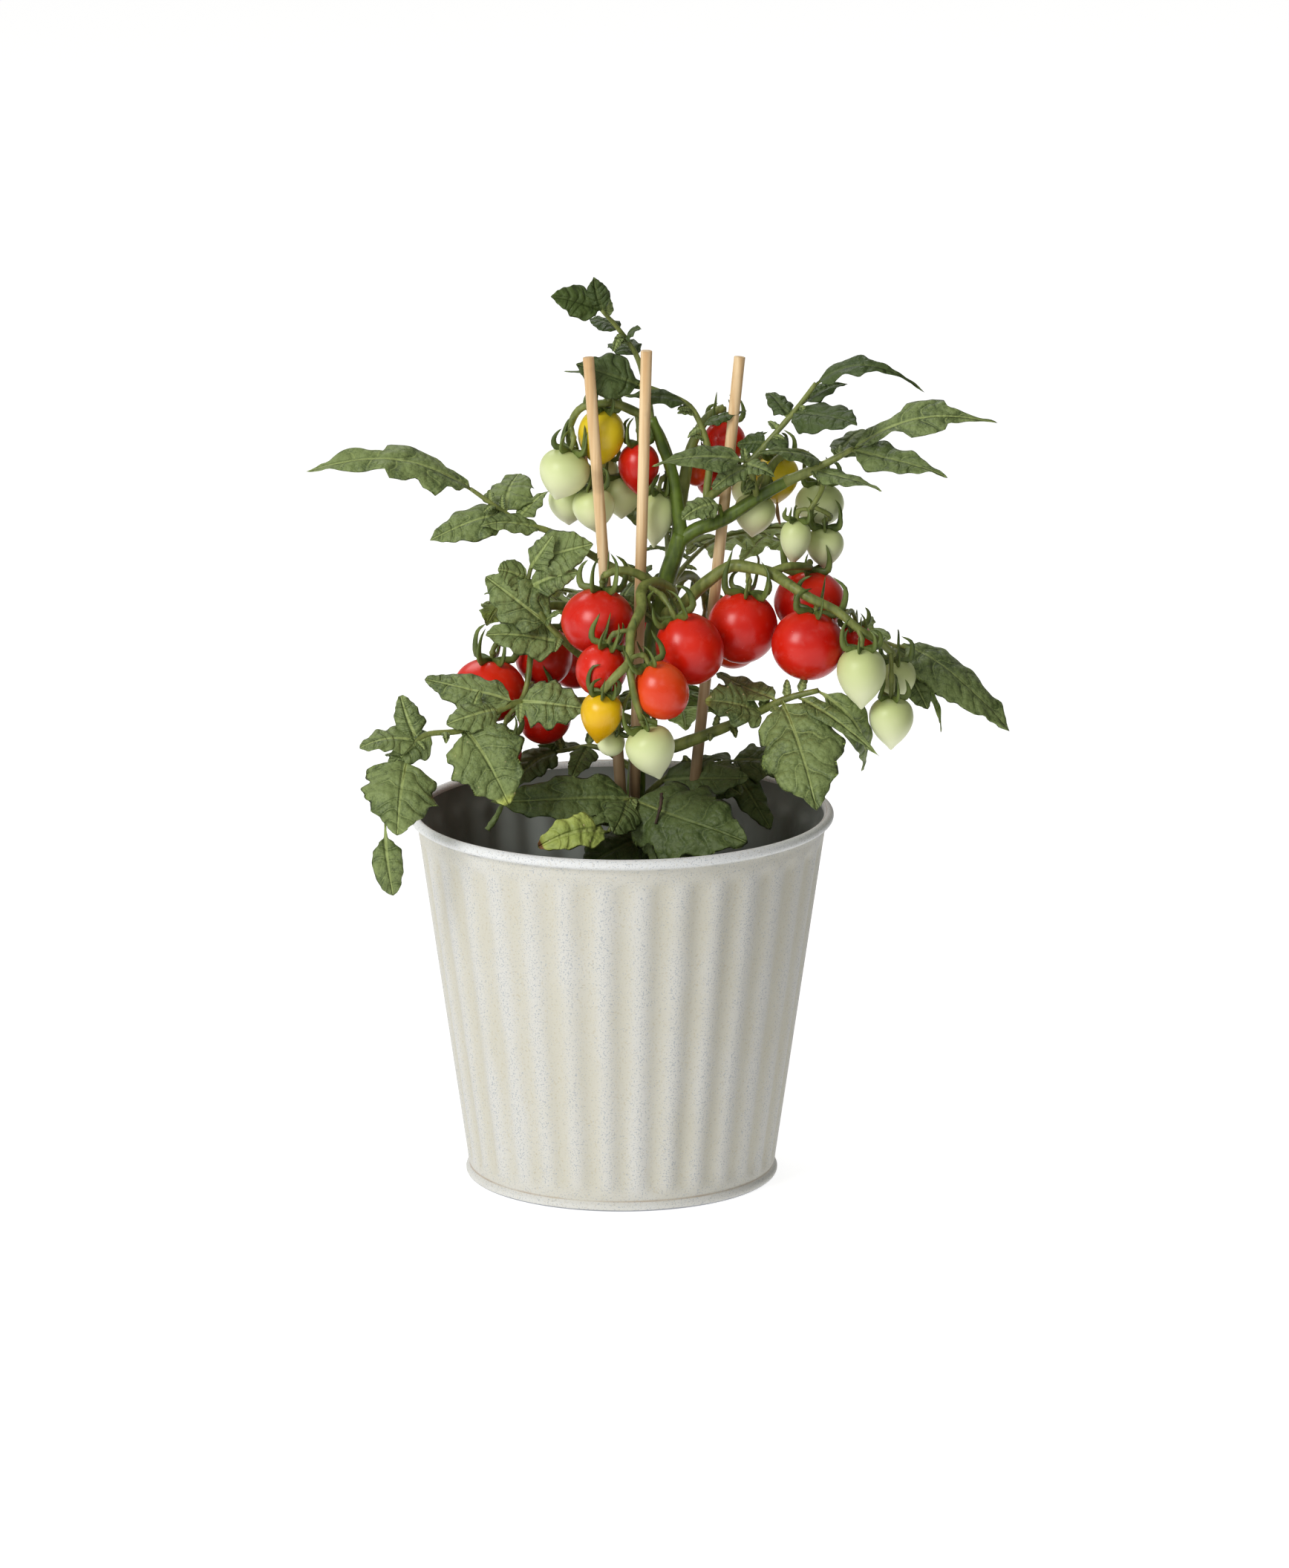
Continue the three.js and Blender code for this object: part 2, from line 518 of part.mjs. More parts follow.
// A side stalk that bends down to a fruit and spreads into a star of pointed sepals over its
// shoulders; to a joined fruit it only runs in
function calyxSolid(fruit, grow = 0) {
  const [width, height] = fruit.size;
  const axis = vector(fruit.axis).normalize();
  const rise = fruit.joined ? 0.3 * height : shoulder * height + crownGap;
  const crown = vector(fruit.at).addScaledVector(axis, rise);
  const above = crown.clone().addScaledVector(axis, Math.min(5, height / 4));
  const start = vector(fruit.from);
  const bend = start.clone().lerp(above, 0.6);
  bend.z += 0.12 * start.distanceTo(above);
  const end = crown.clone().addScaledVector(axis, fruit.joined ? 0 : calyxThickness + grow);
  const path = [start, bend, above, end].map((point) => point.toArray());
  const stalkSteps = width > largeFruit ? 3 : 2;
  if (fruit.joined) return stemSolid(path, stalkRadius, sepalCount, stalkSteps, grow);

  const curve = curveThrough(path);
  const frames = curve.computeFrenetFrames(stalkSteps, false);
  const points = [start.clone().addScaledVector(frames.tangents[0], -grow)];
  const addSpot = (centre, step, turns, out, high = 0) => {
    const spot = centre.clone().addScaledVector(axis, high);
    spot.addScaledVector(frames.normals[step], out * Math.cos(2 * Math.PI * turns));
    spot.addScaledVector(frames.binormals[step], out * Math.sin(2 * Math.PI * turns));
    points.push(spot);
  };
  for (let step = 0; step <= stalkSteps; step += 1) {
    const radius = THREE.MathUtils.lerp(...stalkRadius, step / stalkSteps) + grow;
    const centre = curve.getPointAt(step / stalkSteps);
    for (let sepal = 0; sepal < sepalCount; sepal += 1) addSpot(centre, step, sepal / sepalCount, radius);
  }
  const reach = 0.36 * width + 1.8 + grow;
  for (let sepal = 0; sepal < sepalCount; sepal += 1) {
    addSpot(crown, stalkSteps, sepal / sepalCount, reach, 1 + 0.34 * reach);
    addSpot(crown, stalkSteps, (sepal + 0.5) / sepalCount, sepalNotch + grow, 0.5 * calyxThickness);
  }
  points.push(crown.clone().addScaledVector(axis, -grow));

  const triangles = [];
  const ring = (step, sepal) => 1 + step * sepalCount + (sepal % sepalCount);
  const rim = (place) => 1 + (stalkSteps + 1) * sepalCount + (place % (2 * sepalCount));
  for (let sepal = 0; sepal < sepalCount; sepal += 1) {
    triangles.push(0, ring(0, sepal), ring(0, sepal + 1));
    for (let step = 0; step < stalkSteps; step += 1) {
      triangles.push(ring(step, sepal), ring(step + 1, sepal), ring(step + 1, sepal + 1));
      triangles.push(ring(step, sepal), ring(step + 1, sepal + 1), ring(step, sepal + 1));
    }
    const [tip, notch, nextTip] = [rim(2 * sepal), rim(2 * sepal + 1), rim(2 * sepal + 2)];
    triangles.push(ring(stalkSteps, sepal), tip, notch);
    triangles.push(ring(stalkSteps, sepal), notch, ring(stalkSteps, sepal + 1));
    triangles.push(ring(stalkSteps, sepal + 1), notch, nextTip);
    triangles.push(points.length - 1, notch, tip, points.length - 1, nextTip, notch);
  }
  const calyx = new THREE.BufferGeometry().setFromPoints(points);
  calyx.setIndex(triangles);
  return solidOf(calyx);
}

function trussSolid(name, grow = 0) {
  const own = Object.values(fruits).filter((fruit) => fruit.truss === name);
  const pieces = trusses[name].map(([path, radius]) => stemSolid(path, radius, 5, path.length, grow));
  for (const fruit of own) {
    pieces.push(calyxSolid(fruit, grow));
    if (fruit.joined) pieces.push(fruitSolid(fruit, grow));
  }
  return wasm.Manifold.union(pieces);
}

function mainStemSolid(grow = 0) {
  return wasm.Manifold.union([
    stemSolid(trunk.path, trunk.radius, trunkSides, trunkSteps, grow),
    stemSolid(leftBranch.path, leftBranch.radius, 7, 4, grow),
    stemSolid(rightBranch.path, rightBranch.radius, 7, 4, grow),
    leafSolid(stemLeaf, grow),
  ]);
}

// A straight cane through its soil and top points, reaching down into the soil
function caneSolid(cane, grow = 0) {
  const foot = vector(cane.soil);
  const top = vector(cane.top);
  const slope = top.clone().sub(foot).divideScalar(top.z - foot.z);
  const low = foot.clone().addScaledVector(slope, caneFoot - foot.z);
  const length = low.distanceTo(top);
  const rod = new THREE.CylinderGeometry(caneRadius + grow, caneRadius + grow, length, 10);
  const direction = slope.clone().normalize();
  rod.applyQuaternion(new THREE.Quaternion().setFromUnitVectors(new THREE.Vector3(0, 1, 0), direction));
  rod.translate(...low.add(top).multiplyScalar(0.5).toArray());
  return solidOf(rod);
}

const wallRadius = (z) => wallBase + wallSlope * z;

// The pot's wall follows one closed outline, with its flutes pressed in between foot and band
function potSolid() {
  const rollCentre = potHeight - rimRoll;
  const roll = (degrees) => {
    const angle = THREE.MathUtils.degToRad(degrees);
    return [rimRadius - rimRoll + rimRoll * Math.cos(angle), rollCentre + rimRoll * Math.sin(angle), 0];
  };
  const rows = [
    [0, 0, 0],
    [footRadius - 2, 0, 0],
    [footRadius, 1.6, 0],
    [wallRadius(fluteFoot) - 0.6, fluteFoot - 2, 0],
    [wallRadius(fluteFoot + 3), fluteFoot + 3, 1],
    [wallRadius(fluteTop - fluteFade), fluteTop - fluteFade, 1],
    [wallRadius(fluteTop), fluteTop, 0],
    roll(-80),
    roll(20),
    roll(110),
    [wallRadius(fluteTop) - sheet, fluteTop, 0],
    [wallRadius(fluteTop - fluteFade) - sheet, fluteTop - fluteFade, 1],
    [wallRadius(potFloor) - 2 * sheet, potFloor, 0],
    [0, potFloor, 0],
  ];
  const columns = fluteCount * columnsPerFlute;
  const profile = rows.map(([radius, z]) => new THREE.Vector2(radius, z));
  const pot = new THREE.LatheGeometry(profile, columns);
  const place = pot.attributes.position;
  for (let i = 0; i < place.count; i += 1) {
    const row = i % rows.length;
    const column = Math.floor(i / rows.length) % columns;
    const angle = (2 * Math.PI * column) / columns;
    const [radius, z, flute] = rows[row];
    const valley = (flute * fluteDepth * (1 - Math.cos(fluteCount * angle))) / 2;
    place.setXYZ(i, (radius - valley) * Math.sin(angle), -(radius - valley) * Math.cos(angle), z);
    if (radius === 0) place.setXYZ(i, 0, 0, z);
  }
  return solidOf(pot);
}

// Soil with a gently uneven top, open where the stem and the canes stand in it
function soilSolid() {
  const inset = fluteDepth + sheet + soilGap;
  const foot = potFloor + soilGap;
  const rim = wallRadius(soilTop) - inset;
  const rows = [
    [0, foot], [wallRadius(foot) - inset, foot], [rim, soilTop - 2], [0.8 * rim, soilTop],
    [0.4 * rim, soilTop + 1], [0, soilTop + 1],
  ];
  const soil = new THREE.LatheGeometry(rows.map(([radius, z]) => new THREE.Vector2(radius, z)), 24);
  soil.rotateX(Math.PI / 2);
  const place = soil.attributes.position;
  for (let i = 0; i < place.count; i += 1) {
    const row = i % rows.length;
    const [x, y] = [place.getX(i), place.getY(i)];
    const bump = row >= 2 ? 1.2 * Math.sin(0.21 * x + 1) * Math.cos(0.17 * y) : 0;
    place.setZ(i, rows[row][1] + bump);
  }
  const holes = Object.values(canes).map((cane) => caneSolid(cane, clearance));
  holes.push(stemSolid(trunk.path, trunk.radius, trunkSides, trunkSteps, clearance));
  return solidOf(soil).subtract(wasm.Manifold.union(holes));
}

// Pieces in the order in which they give way: each is trimmed clear of the ones before it
const pieces = [
  ["pot", "pot", () => potSolid()],
  ["potting_soil", "soil", () => soilSolid()],
  ...Object.entries(canes).map(([name, cane]) => [name, "cane", (grow) => caneSolid(cane, grow)]),
  ["main_stem", "stem", (grow) => mainStemSolid(grow)],
  ...Object.entries(fruits)
    .filter(([, fruit]) => !fruit.joined)
    .map(([name, fruit]) => [name, fruit.tone, (grow) => fruitSolid(fruit, grow)]),
  ...Object.keys(trusses).map((name) => [name, "stem", (grow) => trussSolid(name, grow)]),
  ...Object.entries(leaves).map(([name, leaf]) => [name, "leaf", (grow) => leafSolid(leaf, grow)]),
];
const neverTrimmed = ["pot", "soil", "cane"];

function reachesInto(solid, other) {
  const a = solid.boundingBox();
  const b = other.boundingBox();
  return [0, 1, 2].every((axis) => a.min[axis] < b.max[axis] && b.min[axis] < a.max[axis]);
}

// Removes what a piece would share with its neighbours, with the clearance, and loose scraps
function trimmed(solid, earlier) {
  const near = earlier.filter((other) => reachesInto(solid, other));
  const free = near.length ? solid.subtract(wasm.Manifold.union(near)) : solid;
  const bodies = free.simplify(detail).decompose();
  bodies.sort((a, b) => b.surfaceArea() - a.surfaceArea());
  return bodies[0];
}

const group = new THREE.Group();
group.name = "tomato_plant_in_pot";
const earlier = [];
for (const [name, finish, make] of pieces) {
  const whole = make(0);
  const solid = neverTrimmed.includes(finish) ? whole : trimmed(whole, earlier);
  if (finish !== "pot" && finish !== "soil") earlier.push(make(clearance));
  const mesh = new THREE.Mesh(geometryOf(solid), new THREE.MeshStandardMaterial(finishes[finish]));
  mesh.name = name;
  group.add(mesh);
}

export default group;
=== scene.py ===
# A bush tomato plant in a fluted metal pot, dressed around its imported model
import random
from bisect import bisect_right
from math import atan2, copysign, cos, exp, pi, radians, sin

import bmesh
import bpy
from mathutils import Matrix, Vector, noise


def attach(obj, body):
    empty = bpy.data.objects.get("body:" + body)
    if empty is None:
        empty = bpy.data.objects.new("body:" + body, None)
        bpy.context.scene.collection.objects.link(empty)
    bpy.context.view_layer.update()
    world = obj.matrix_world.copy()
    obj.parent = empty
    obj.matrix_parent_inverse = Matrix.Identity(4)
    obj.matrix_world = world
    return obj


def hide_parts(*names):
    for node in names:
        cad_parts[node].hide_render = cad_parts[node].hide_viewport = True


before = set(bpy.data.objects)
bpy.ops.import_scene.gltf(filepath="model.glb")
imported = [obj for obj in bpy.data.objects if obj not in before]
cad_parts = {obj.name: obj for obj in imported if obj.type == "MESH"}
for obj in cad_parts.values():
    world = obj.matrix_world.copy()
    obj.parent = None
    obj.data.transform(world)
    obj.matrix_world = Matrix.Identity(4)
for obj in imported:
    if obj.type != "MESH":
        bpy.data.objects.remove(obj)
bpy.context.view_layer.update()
mm = 0.001
fullTurn = 2 * pi
upright = Vector((0, 0, 1))


# Camera and studio; the flag is a dark board that shades the right side and that the camera doesn't see

cameraView = {"aim": (9.2, 2.6, 159.5), "distance": 4000, "elevation": 13.9, "viewHeight": 627.7,
              "sensor": 36, "farEnd": 100}
studio = {
    "sky": (255, 254, 250), "skyStrength": 0.36,
    "lights": {
        "key": {"place": (-1.33, -1.5, 1.4), "size": (0.9, 1.1), "power": 36},
        "fill": {"place": (0.2, -2.1, 1.6), "size": (0.7, 0.7), "power": 3},
        "back": {"place": (-0.5, 1.3, 1.6), "size": (1.4, 0.8), "power": 12},
    },
    "boards": {
        "floor": {"place": (0, 0, 0), "turn": 0, "size": 80, "colour": (168, 168, 168), "roughness": 0.9,
                  "glow": 0.82, "seen": True},
        "flag": {"place": (0.42, -0.1, 0.2), "turn": -90, "size": 0.6, "colour": (16, 16, 16),
                 "roughness": 1.0, "glow": 0, "seen": False},
    },
}


def paint(tone):
    # an sRGB colour, 0 to 255, as the linear one a shader takes
    parts = [part / 255 for part in tone]
    return (*(part / 12.92 if part <= 0.04045 else ((part + 0.055) / 1.055) ** 2.4 for part in parts), 1.0)


def addObject(name, data):
    made = bpy.data.objects.new(name, data)
    bpy.context.scene.collection.objects.link(made)
    return made


def addMesh(name, bm, finishes):
    mesh = bpy.data.meshes.new(name)
    bm.to_mesh(mesh)
    bm.free()
    for finish in finishes:
        mesh.materials.append(finish.material)
    return addObject(name, mesh)


def turnTo(made, spot, look):
    made.location = spot
    made.rotation_mode = "QUATERNION"
    made.rotation_quaternion = look.to_track_quat("-Z", "Y")


def makeCamera():
    data = bpy.data.cameras.new("camera")
    data.sensor_width = cameraView["sensor"]
    data.lens = cameraView["sensor"] * cameraView["distance"] / cameraView["viewHeight"]
    data.clip_end = cameraView["farEnd"]
    rise = radians(cameraView["elevation"])
    back = Vector((0, -cos(rise), sin(rise)))
    bpy.context.scene.camera = addObject("camera", data)
    turnTo(bpy.context.scene.camera, (Vector(cameraView["aim"]) + back * cameraView["distance"]) * mm, -back)


def makeStudio():
    world = bpy.data.worlds.new("studio")
    world.use_nodes = True
    sky = world.node_tree.nodes["Background"]
    sky.inputs["Color"].default_value = paint(studio["sky"])
    sky.inputs["Strength"].default_value = studio["skyStrength"]
    bpy.context.scene.world = world
    bpy.context.scene.view_settings.view_transform = "Standard"
    for name, plan in studio["lights"].items():
        light = bpy.data.lights.new(name, "AREA")
        light.shape = "RECTANGLE"
        light.size, light.size_y = plan["size"]
        light.energy = plan["power"]
        turnTo(addObject(name, light), plan["place"], Vector(cameraView["aim"]) * mm - Vector(plan["place"]))
    for name, plan in studio["boards"].items():
        bm = bmesh.new()
        matrix = Matrix.Translation(plan["place"]) @ Matrix.Rotation(radians(plan["turn"]), 4, "Y")
        bmesh.ops.create_grid(bm, x_segments=4, y_segments=4, size=plan["size"] / 2, matrix=matrix)
        fixed = {"Base Color": paint(plan["colour"]), "Roughness": plan["roughness"],
                 "Emission Color": (1, 1, 1, 1), "Emission Strength": plan["glow"]}
        board = addMesh(name, bm, [Finish(name, fixed)])
        board.visible_camera = plan["seen"]
    print("camera and studio done")


# Shader maths: a Wire is one output of a node, a Finish is the node tree of one material

class Wire:
    def __init__(self, finish, socket):
        self.finish = finish
        self.socket = socket

    def maths(self, operation, first, second=0.0):
        return self.finish.node("Math", {"operation": operation}, {0: first, 1: second})

    def __add__(self, other):
        return self.maths("ADD", self, other)

    def __sub__(self, other):
        return self.maths("SUBTRACT", self, other)

    def __rsub__(self, other):
        return self.maths("SUBTRACT", other, self)

    def __mul__(self, other):
        return self.maths("MULTIPLY", self, other)

    __radd__ = __add__
    __rmul__ = __mul__

    def __abs__(self):
        return self.maths("ABSOLUTE", self)

    def fraction(self):
        return self.maths("FRACT", self)

    def larger(self, other):
        return self.maths("MAXIMUM", self, other)

    def ease(self, low, high, start=0.0, end=1.0):
        # a soft step from start, below low, to end, above high
        inputs = {"Value": self, "From Min": low, "From Max": high, "To Min": start, "To Max": end}
        return self.finish.node("MapRange", {"interpolation_type": "SMOOTHSTEP"}, inputs)


class Finish:
    def __init__(self, name, fixed):
        self.material = bpy.data.materials.new(name)
        self.material.use_nodes = True
        self.tree = self.material.node_tree
        self.shader = self.tree.nodes["Principled BSDF"]
        for socket, value in fixed.items():
            self.shader.inputs[socket].default_value = value

    def feed(self, socket, value):
        if isinstance(value, Wire):
            self.tree.links.new(value.socket, socket)
        else:
            socket.default_value = value

    def node(self, kind, settings, inputs, output=0):
        made = self.tree.nodes.new("ShaderNode" + kind)
        for key, value in settings.items():
            setattr(made, key, value)
        for key, value in inputs.items():
            self.feed(made.inputs[key], value)
        return Wire(self, made.outputs[output])

    def number(self, name):
        # a number that the mesh carries at its vertices
        return self.node("Attribute", {"attribute_name": name}, {}, "Fac")

    def place(self, stretch):
        spot = self.node("TexCoord", {}, {}, "Object")
        return self.node("Mapping", {}, {"Vector": spot, "Scale": stretch})

    def noise(self, scale, detail, stretch=(1, 1, 1)):
        inputs = {"Vector": self.place(stretch), "Scale": scale, "Detail": detail}
        return self.node("TexNoise", {}, inputs)

    def cells(self, scale, feature="F1"):
        inputs = {"Vector": self.place((1, 1, 1)), "Scale": scale}
        return self.node("TexVoronoi", {"feature": feature}, inputs, "Distance")

    def mix(self, factor, *tones):
        # two colours; sockets 6 and 7 are the node's colour inputs, output 2 its colour
        first, second = [tone if isinstance(tone, Wire) else paint(tone) for tone in tones]
        return self.node("Mix", {"data_type": "RGBA"}, {0: factor, 6: first, 7: second}, 2)

    def colour(self, factor, *tones):
        self.feed(self.shader.inputs["Base Color"], self.mix(factor, *tones))

    def roughness(self, cloud, low, high):
        self.feed(self.shader.inputs["Roughness"], cloud.ease(0.3, 0.7, low, high))

    def bump(self, height, strength, distance):
        inputs = {"Height": height, "Strength": strength, "Distance": distance * mm}
        self.feed(self.shader.inputs["Normal"], self.node("Bump", {}, inputs))


# Lines, grids and pieces

def blendTo(value, low, high):
    part = min(1.0, max(0.0, (value - low) / (high - low)))
    return part * part * (3 - 2 * part)


def between(first, second, part):
    return first + (second - first) * part


class Route:
    # a smooth line through given points, followed from 0 to 1
    def __init__(self, points, fineness=10):
        knots = [Vector(point) for point in points]
        knots = [2 * knots[0] - knots[1], *knots, 2 * knots[-1] - knots[-2]]
        self.line = []
        for a, b, c, d in zip(knots, knots[1:], knots[2:], knots[3:]):
            gaps = [max(0.01, (q - p).length) ** 0.5 for p, q in ((a, b), (b, c), (c, d))]
            leave = ((b - a) / gaps[0] - (c - a) / (gaps[0] + gaps[1]) + (c - b) / gaps[1]) * gaps[1]
            arrive = ((c - b) / gaps[1] - (d - b) / (gaps[1] + gaps[2]) + (d - c) / gaps[2]) * gaps[1]
            for step in range(fineness):
                t = step / fineness
                here = b * (2 * t**3 - 3 * t**2 + 1) + leave * (t**3 - 2 * t**2 + t)
                self.line.append(here + c * (3 * t**2 - 2 * t**3) + arrive * (t**3 - t**2))
        self.line.append(knots[-2])
        self.marks = [0.0]
        for here, there in zip(self.line, self.line[1:]):
            self.marks.append(self.marks[-1] + (there - here).length)
        self.length = self.marks[-1]

    def at(self, part):
        reach = min(max(part, 0.0), 1.0) * self.length
        slot = min(bisect_right(self.marks, reach), len(self.marks) - 1)
        low, high = self.marks[slot - 1], self.marks[slot]
        return self.line[slot - 1].lerp(self.line[slot], (reach - low) / max(high - low, 1e-6))

    def heading(self, part):
        return (self.at(part + 0.01) - self.at(part - 0.01)).normalized()

    def frames(self, steps, lean=None):
        # centre and two crosswise directions at each step, turned as little as possible
        made = []
        across = Vector((0.3, -0.9, 0.35))
        for step in range(steps + 1):
            ahead = self.heading(step / steps)
            across = Vector(lean) if lean else across
            across = (across - ahead * across.dot(ahead)).normalized()
            made.append((self.at(step / steps), across, ahead.cross(across)))
        return made


class Piece:
    # one mesh in the making, with its main finish and the numbers that its finishes read
    def __init__(self, name, finish, numbers=()):
        self.name = name
        self.finishes = [finish]
        self.bm = bmesh.new()
        self.numbers = {number: self.bm.verts.layers.float.new(number) for number in numbers}

    def slotOf(self, finish):
        if finish not in self.finishes:
            self.finishes.append(finish)
        return self.finishes.index(finish)

    def carry(self, vert, values):
        for number, value in values.items():
            vert[self.numbers[number]] = value

    def bend(self, columns, rows, place, finish, back=None):
        # a grid whose corners go to place(column, row), sewn where they meet; the later rows are its back
        made = bmesh.ops.create_grid(self.bm, x_segments=columns, y_segments=rows, size=0.5)["verts"]
        sides = self.slotOf(finish), self.slotOf(back or finish)
        for face in {face for vert in made for face in vert.link_faces}:
            face.material_index = sides[face.calc_center_median().y > 0]
            face.smooth = True
        for vert in made:
            spot, values = place(round((vert.co.x + 0.5) * columns), round((vert.co.y + 0.5) * rows))
            vert.co = spot * mm
            self.carry(vert, values)
        bmesh.ops.remove_doubles(self.bm, verts=made, dist=0.002 * mm)

    def tube(self, route, girth, sides, steps, finish=None, flat=1.0, lean=None, values=None):
        # a closed round stem; girth gives the radius from the place along it and around it
        frames = route.frames(steps, lean)

        def place(column, row):
            step = min(max(column - 1, 0), steps)
            centre, across, up = frames[step]
            if column in (0, steps + 2):
                return centre, values or {}
            turn = fullTurn * (row % sides) / sides
            radius = girth(step / steps, turn)
            out = across * (radius * cos(turn)) * flat + up * radius * sin(turn)
            return centre + out, values or {}

        self.bend(steps + 2, sides, place, finish or self.finishes[0])

    def hairs(self, route, girth, count, length, draw):
        slot = self.slotOf(down)
        for _ in range(count):
            part, turn = draw.random(), draw.random() * fullTurn
            ahead = route.heading(part)
            out = Matrix.Rotation(turn, 3, ahead) @ ahead.orthogonal().normalized()
            size = length * draw.uniform(0.5, 1.2)
            lean = (out + ahead * draw.uniform(-0.5, 0.5)).normalized()
            middle = route.at(part) + out * girth(part, turn) * 0.8 + lean * size / 2
            matrix = Matrix.Translation(middle * mm) @ upright.rotation_difference(lean).to_matrix().to_4x4()
            cone = bmesh.ops.create_cone(
                self.bm, cap_ends=True, segments=3, radius1=stem["hairWidth"] * mm, radius2=0,
                depth=size * mm, matrix=matrix)
            for face in {face for vert in cone["verts"] for face in vert.link_faces}:
                face.material_index = slot

    def spin(self, profile, steps):
        # a closed shape from radii and heights in mm, turned right round and sewn at the axis
        spots = [self.bm.verts.new((0, -radius, height)) for radius, height in profile]
        line = [self.bm.edges.new(pair) for pair in zip(spots, spots[1:])]
        bmesh.ops.spin(
            self.bm, geom=spots + line, angle=fullTurn, steps=steps, axis=(0, 0, 1), cent=(0, 0, 0),
            use_merge=True)
        bmesh.ops.remove_doubles(self.bm, verts=self.bm.verts, dist=0.001)

    def done(self, slot, *nodes):
        bmesh.ops.recalc_face_normals(self.bm, faces=self.bm.faces)
        piece = addMesh(self.name, self.bm, self.finishes)
        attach(piece, "root")
        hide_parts(*nodes)


# Pot: one spun sheet with a rolled foot and rim, pressed into 32 flutes

pot = {
    "height": 150, "rimRadius": 85, "rimRoll": 2, "footRadius": 62.8, "footRoll": 1.75, "footTop": 4,
    "sheet": 0.8, "floor": 1.5, "wallBase": 61, "wallSlope": 0.144, "flutes": 32, "fluteDepth": 1.3,
    "fluteFoot": 5.5, "fluteTop": 141.5, "fluteFade": 6, "grooveTurn": 0.6, "steps": 384, "wallFrom": 50,
    "rimCrease": (144.5, 146.4), "footGap": 0.3, "liningTop": 147.4,
    "underside": (0, 20, 40, 54),
    "outside": (5.5, 7, 9, 11.5, 15, 25, 40, 55, 70, 85, 100, 112, 122, 130, 134, 135.5, 137, 138.5, 140,
                141.5, 143, 145),
    "inside": (145, 141.5, 140, 138.5, 137, 135.5, 134, 124, 112, 100, 80, 55, 30, 12, 6, 1.5),
    "ridge": (201, 200, 194), "valley": (193, 190, 176), "bead": (221, 223, 224), "speck": (140, 148, 158),
    "sandAndValleyShade": (172, 160, 130), "tan": (150, 120, 84), "chip": (92, 78, 58), "wornFootAndCreaseShade": (96, 104, 120),
    "lining": (144, 150, 145), "liningDark": (110, 113, 107),
}


def wallRadius(height):
    return pot["wallBase"] + pot["wallSlope"] * height


def potPaint():
    finish = Finish("pot paint", {"Metallic": 0.0, "Coat Weight": 0.0, "Specular IOR Level": 0.4})
    ridge, rim, tanLine, foot = [finish.number(name) for name in ("ridge", "rim", "tanLine", "foot")]
    cloud = finish.noise(38, 3)
    streak = finish.noise(60, 2, (1, 1, 0.12))
    fine = finish.noise(1700, 1)
    # Ridges are painted lighter and the flute valleys darker and tanner: painted shade in the flute hollows,
    # mixed with random mottling.
    fluteShadeAndMottle = (ridge * 0.7 + (cloud - 0.5) * 0.9 + (streak - 0.5) * 0.8).ease(-0.1, 0.9)
    base = finish.mix(rim * 0.8, finish.mix(fluteShadeAndMottle, pot["valley"], pot["ridge"]), pot["bead"])
    worn = (ridge.larger(rim * 0.5) * 0.09 + (cloud - 0.5) * 0.1 + fine).ease(0.64, 0.74, 0, 0.6)
    # The sand grain gathers in the flute valleys, where it also paints shade into the hollows.
    sandAndValleyShade = finish.noise(1100, 2, (1.1, 0.9, 1)).ease(0.56, 0.7, 0, 0.42) * (1.2 - ridge)
    valleyShadeSanded = finish.mix(sandAndValleyShade, finish.mix(worn, base, pot["speck"]), pot["sandAndValleyShade"])
    lined = finish.mix((tanLine + (cloud - 0.5) * 1.2).ease(0.5, 1.3, 0, 0.7), valleyShadeSanded, pot["tan"])
    # The foot mask paints the worn lower edge of the foot and, in the crease under the rim, painted shade.
    rubbedAndCreaseShade = (foot + (finish.noise(90, 3) - 0.5) * 0.6).ease(0.5, 0.8, 0, 0.7)
    chips = finish.cells(34).ease(0.012, 0.02, 0.8, 0)
    finish.colour(chips, finish.mix(rubbedAndCreaseShade, lined, pot["wornFootAndCreaseShade"]), pot["chip"])
    finish.roughness(finish.noise(900, 2), 0.52, 0.7)
    finish.bump(fine * 0.6 + finish.noise(420, 2) * 0.8, 0.25, 0.12)
    return finish


def potInside():
    finish = Finish("pot inside", {"Metallic": 0.0, "Specular IOR Level": 0.5})
    cloud = finish.noise(30, 3)
    finish.colour(cloud.ease(0.3, 0.7), pot["lining"], pot["liningDark"])
    finish.roughness(cloud, 0.36, 0.5)
    finish.bump(finish.noise(1400, 2), 0.15, 0.06)
    return finish


def rolledEdge(radius, height, roll, angles):
    return [(radius + roll * cos(a), height + roll * sin(a)) for a in map(radians, angles)]


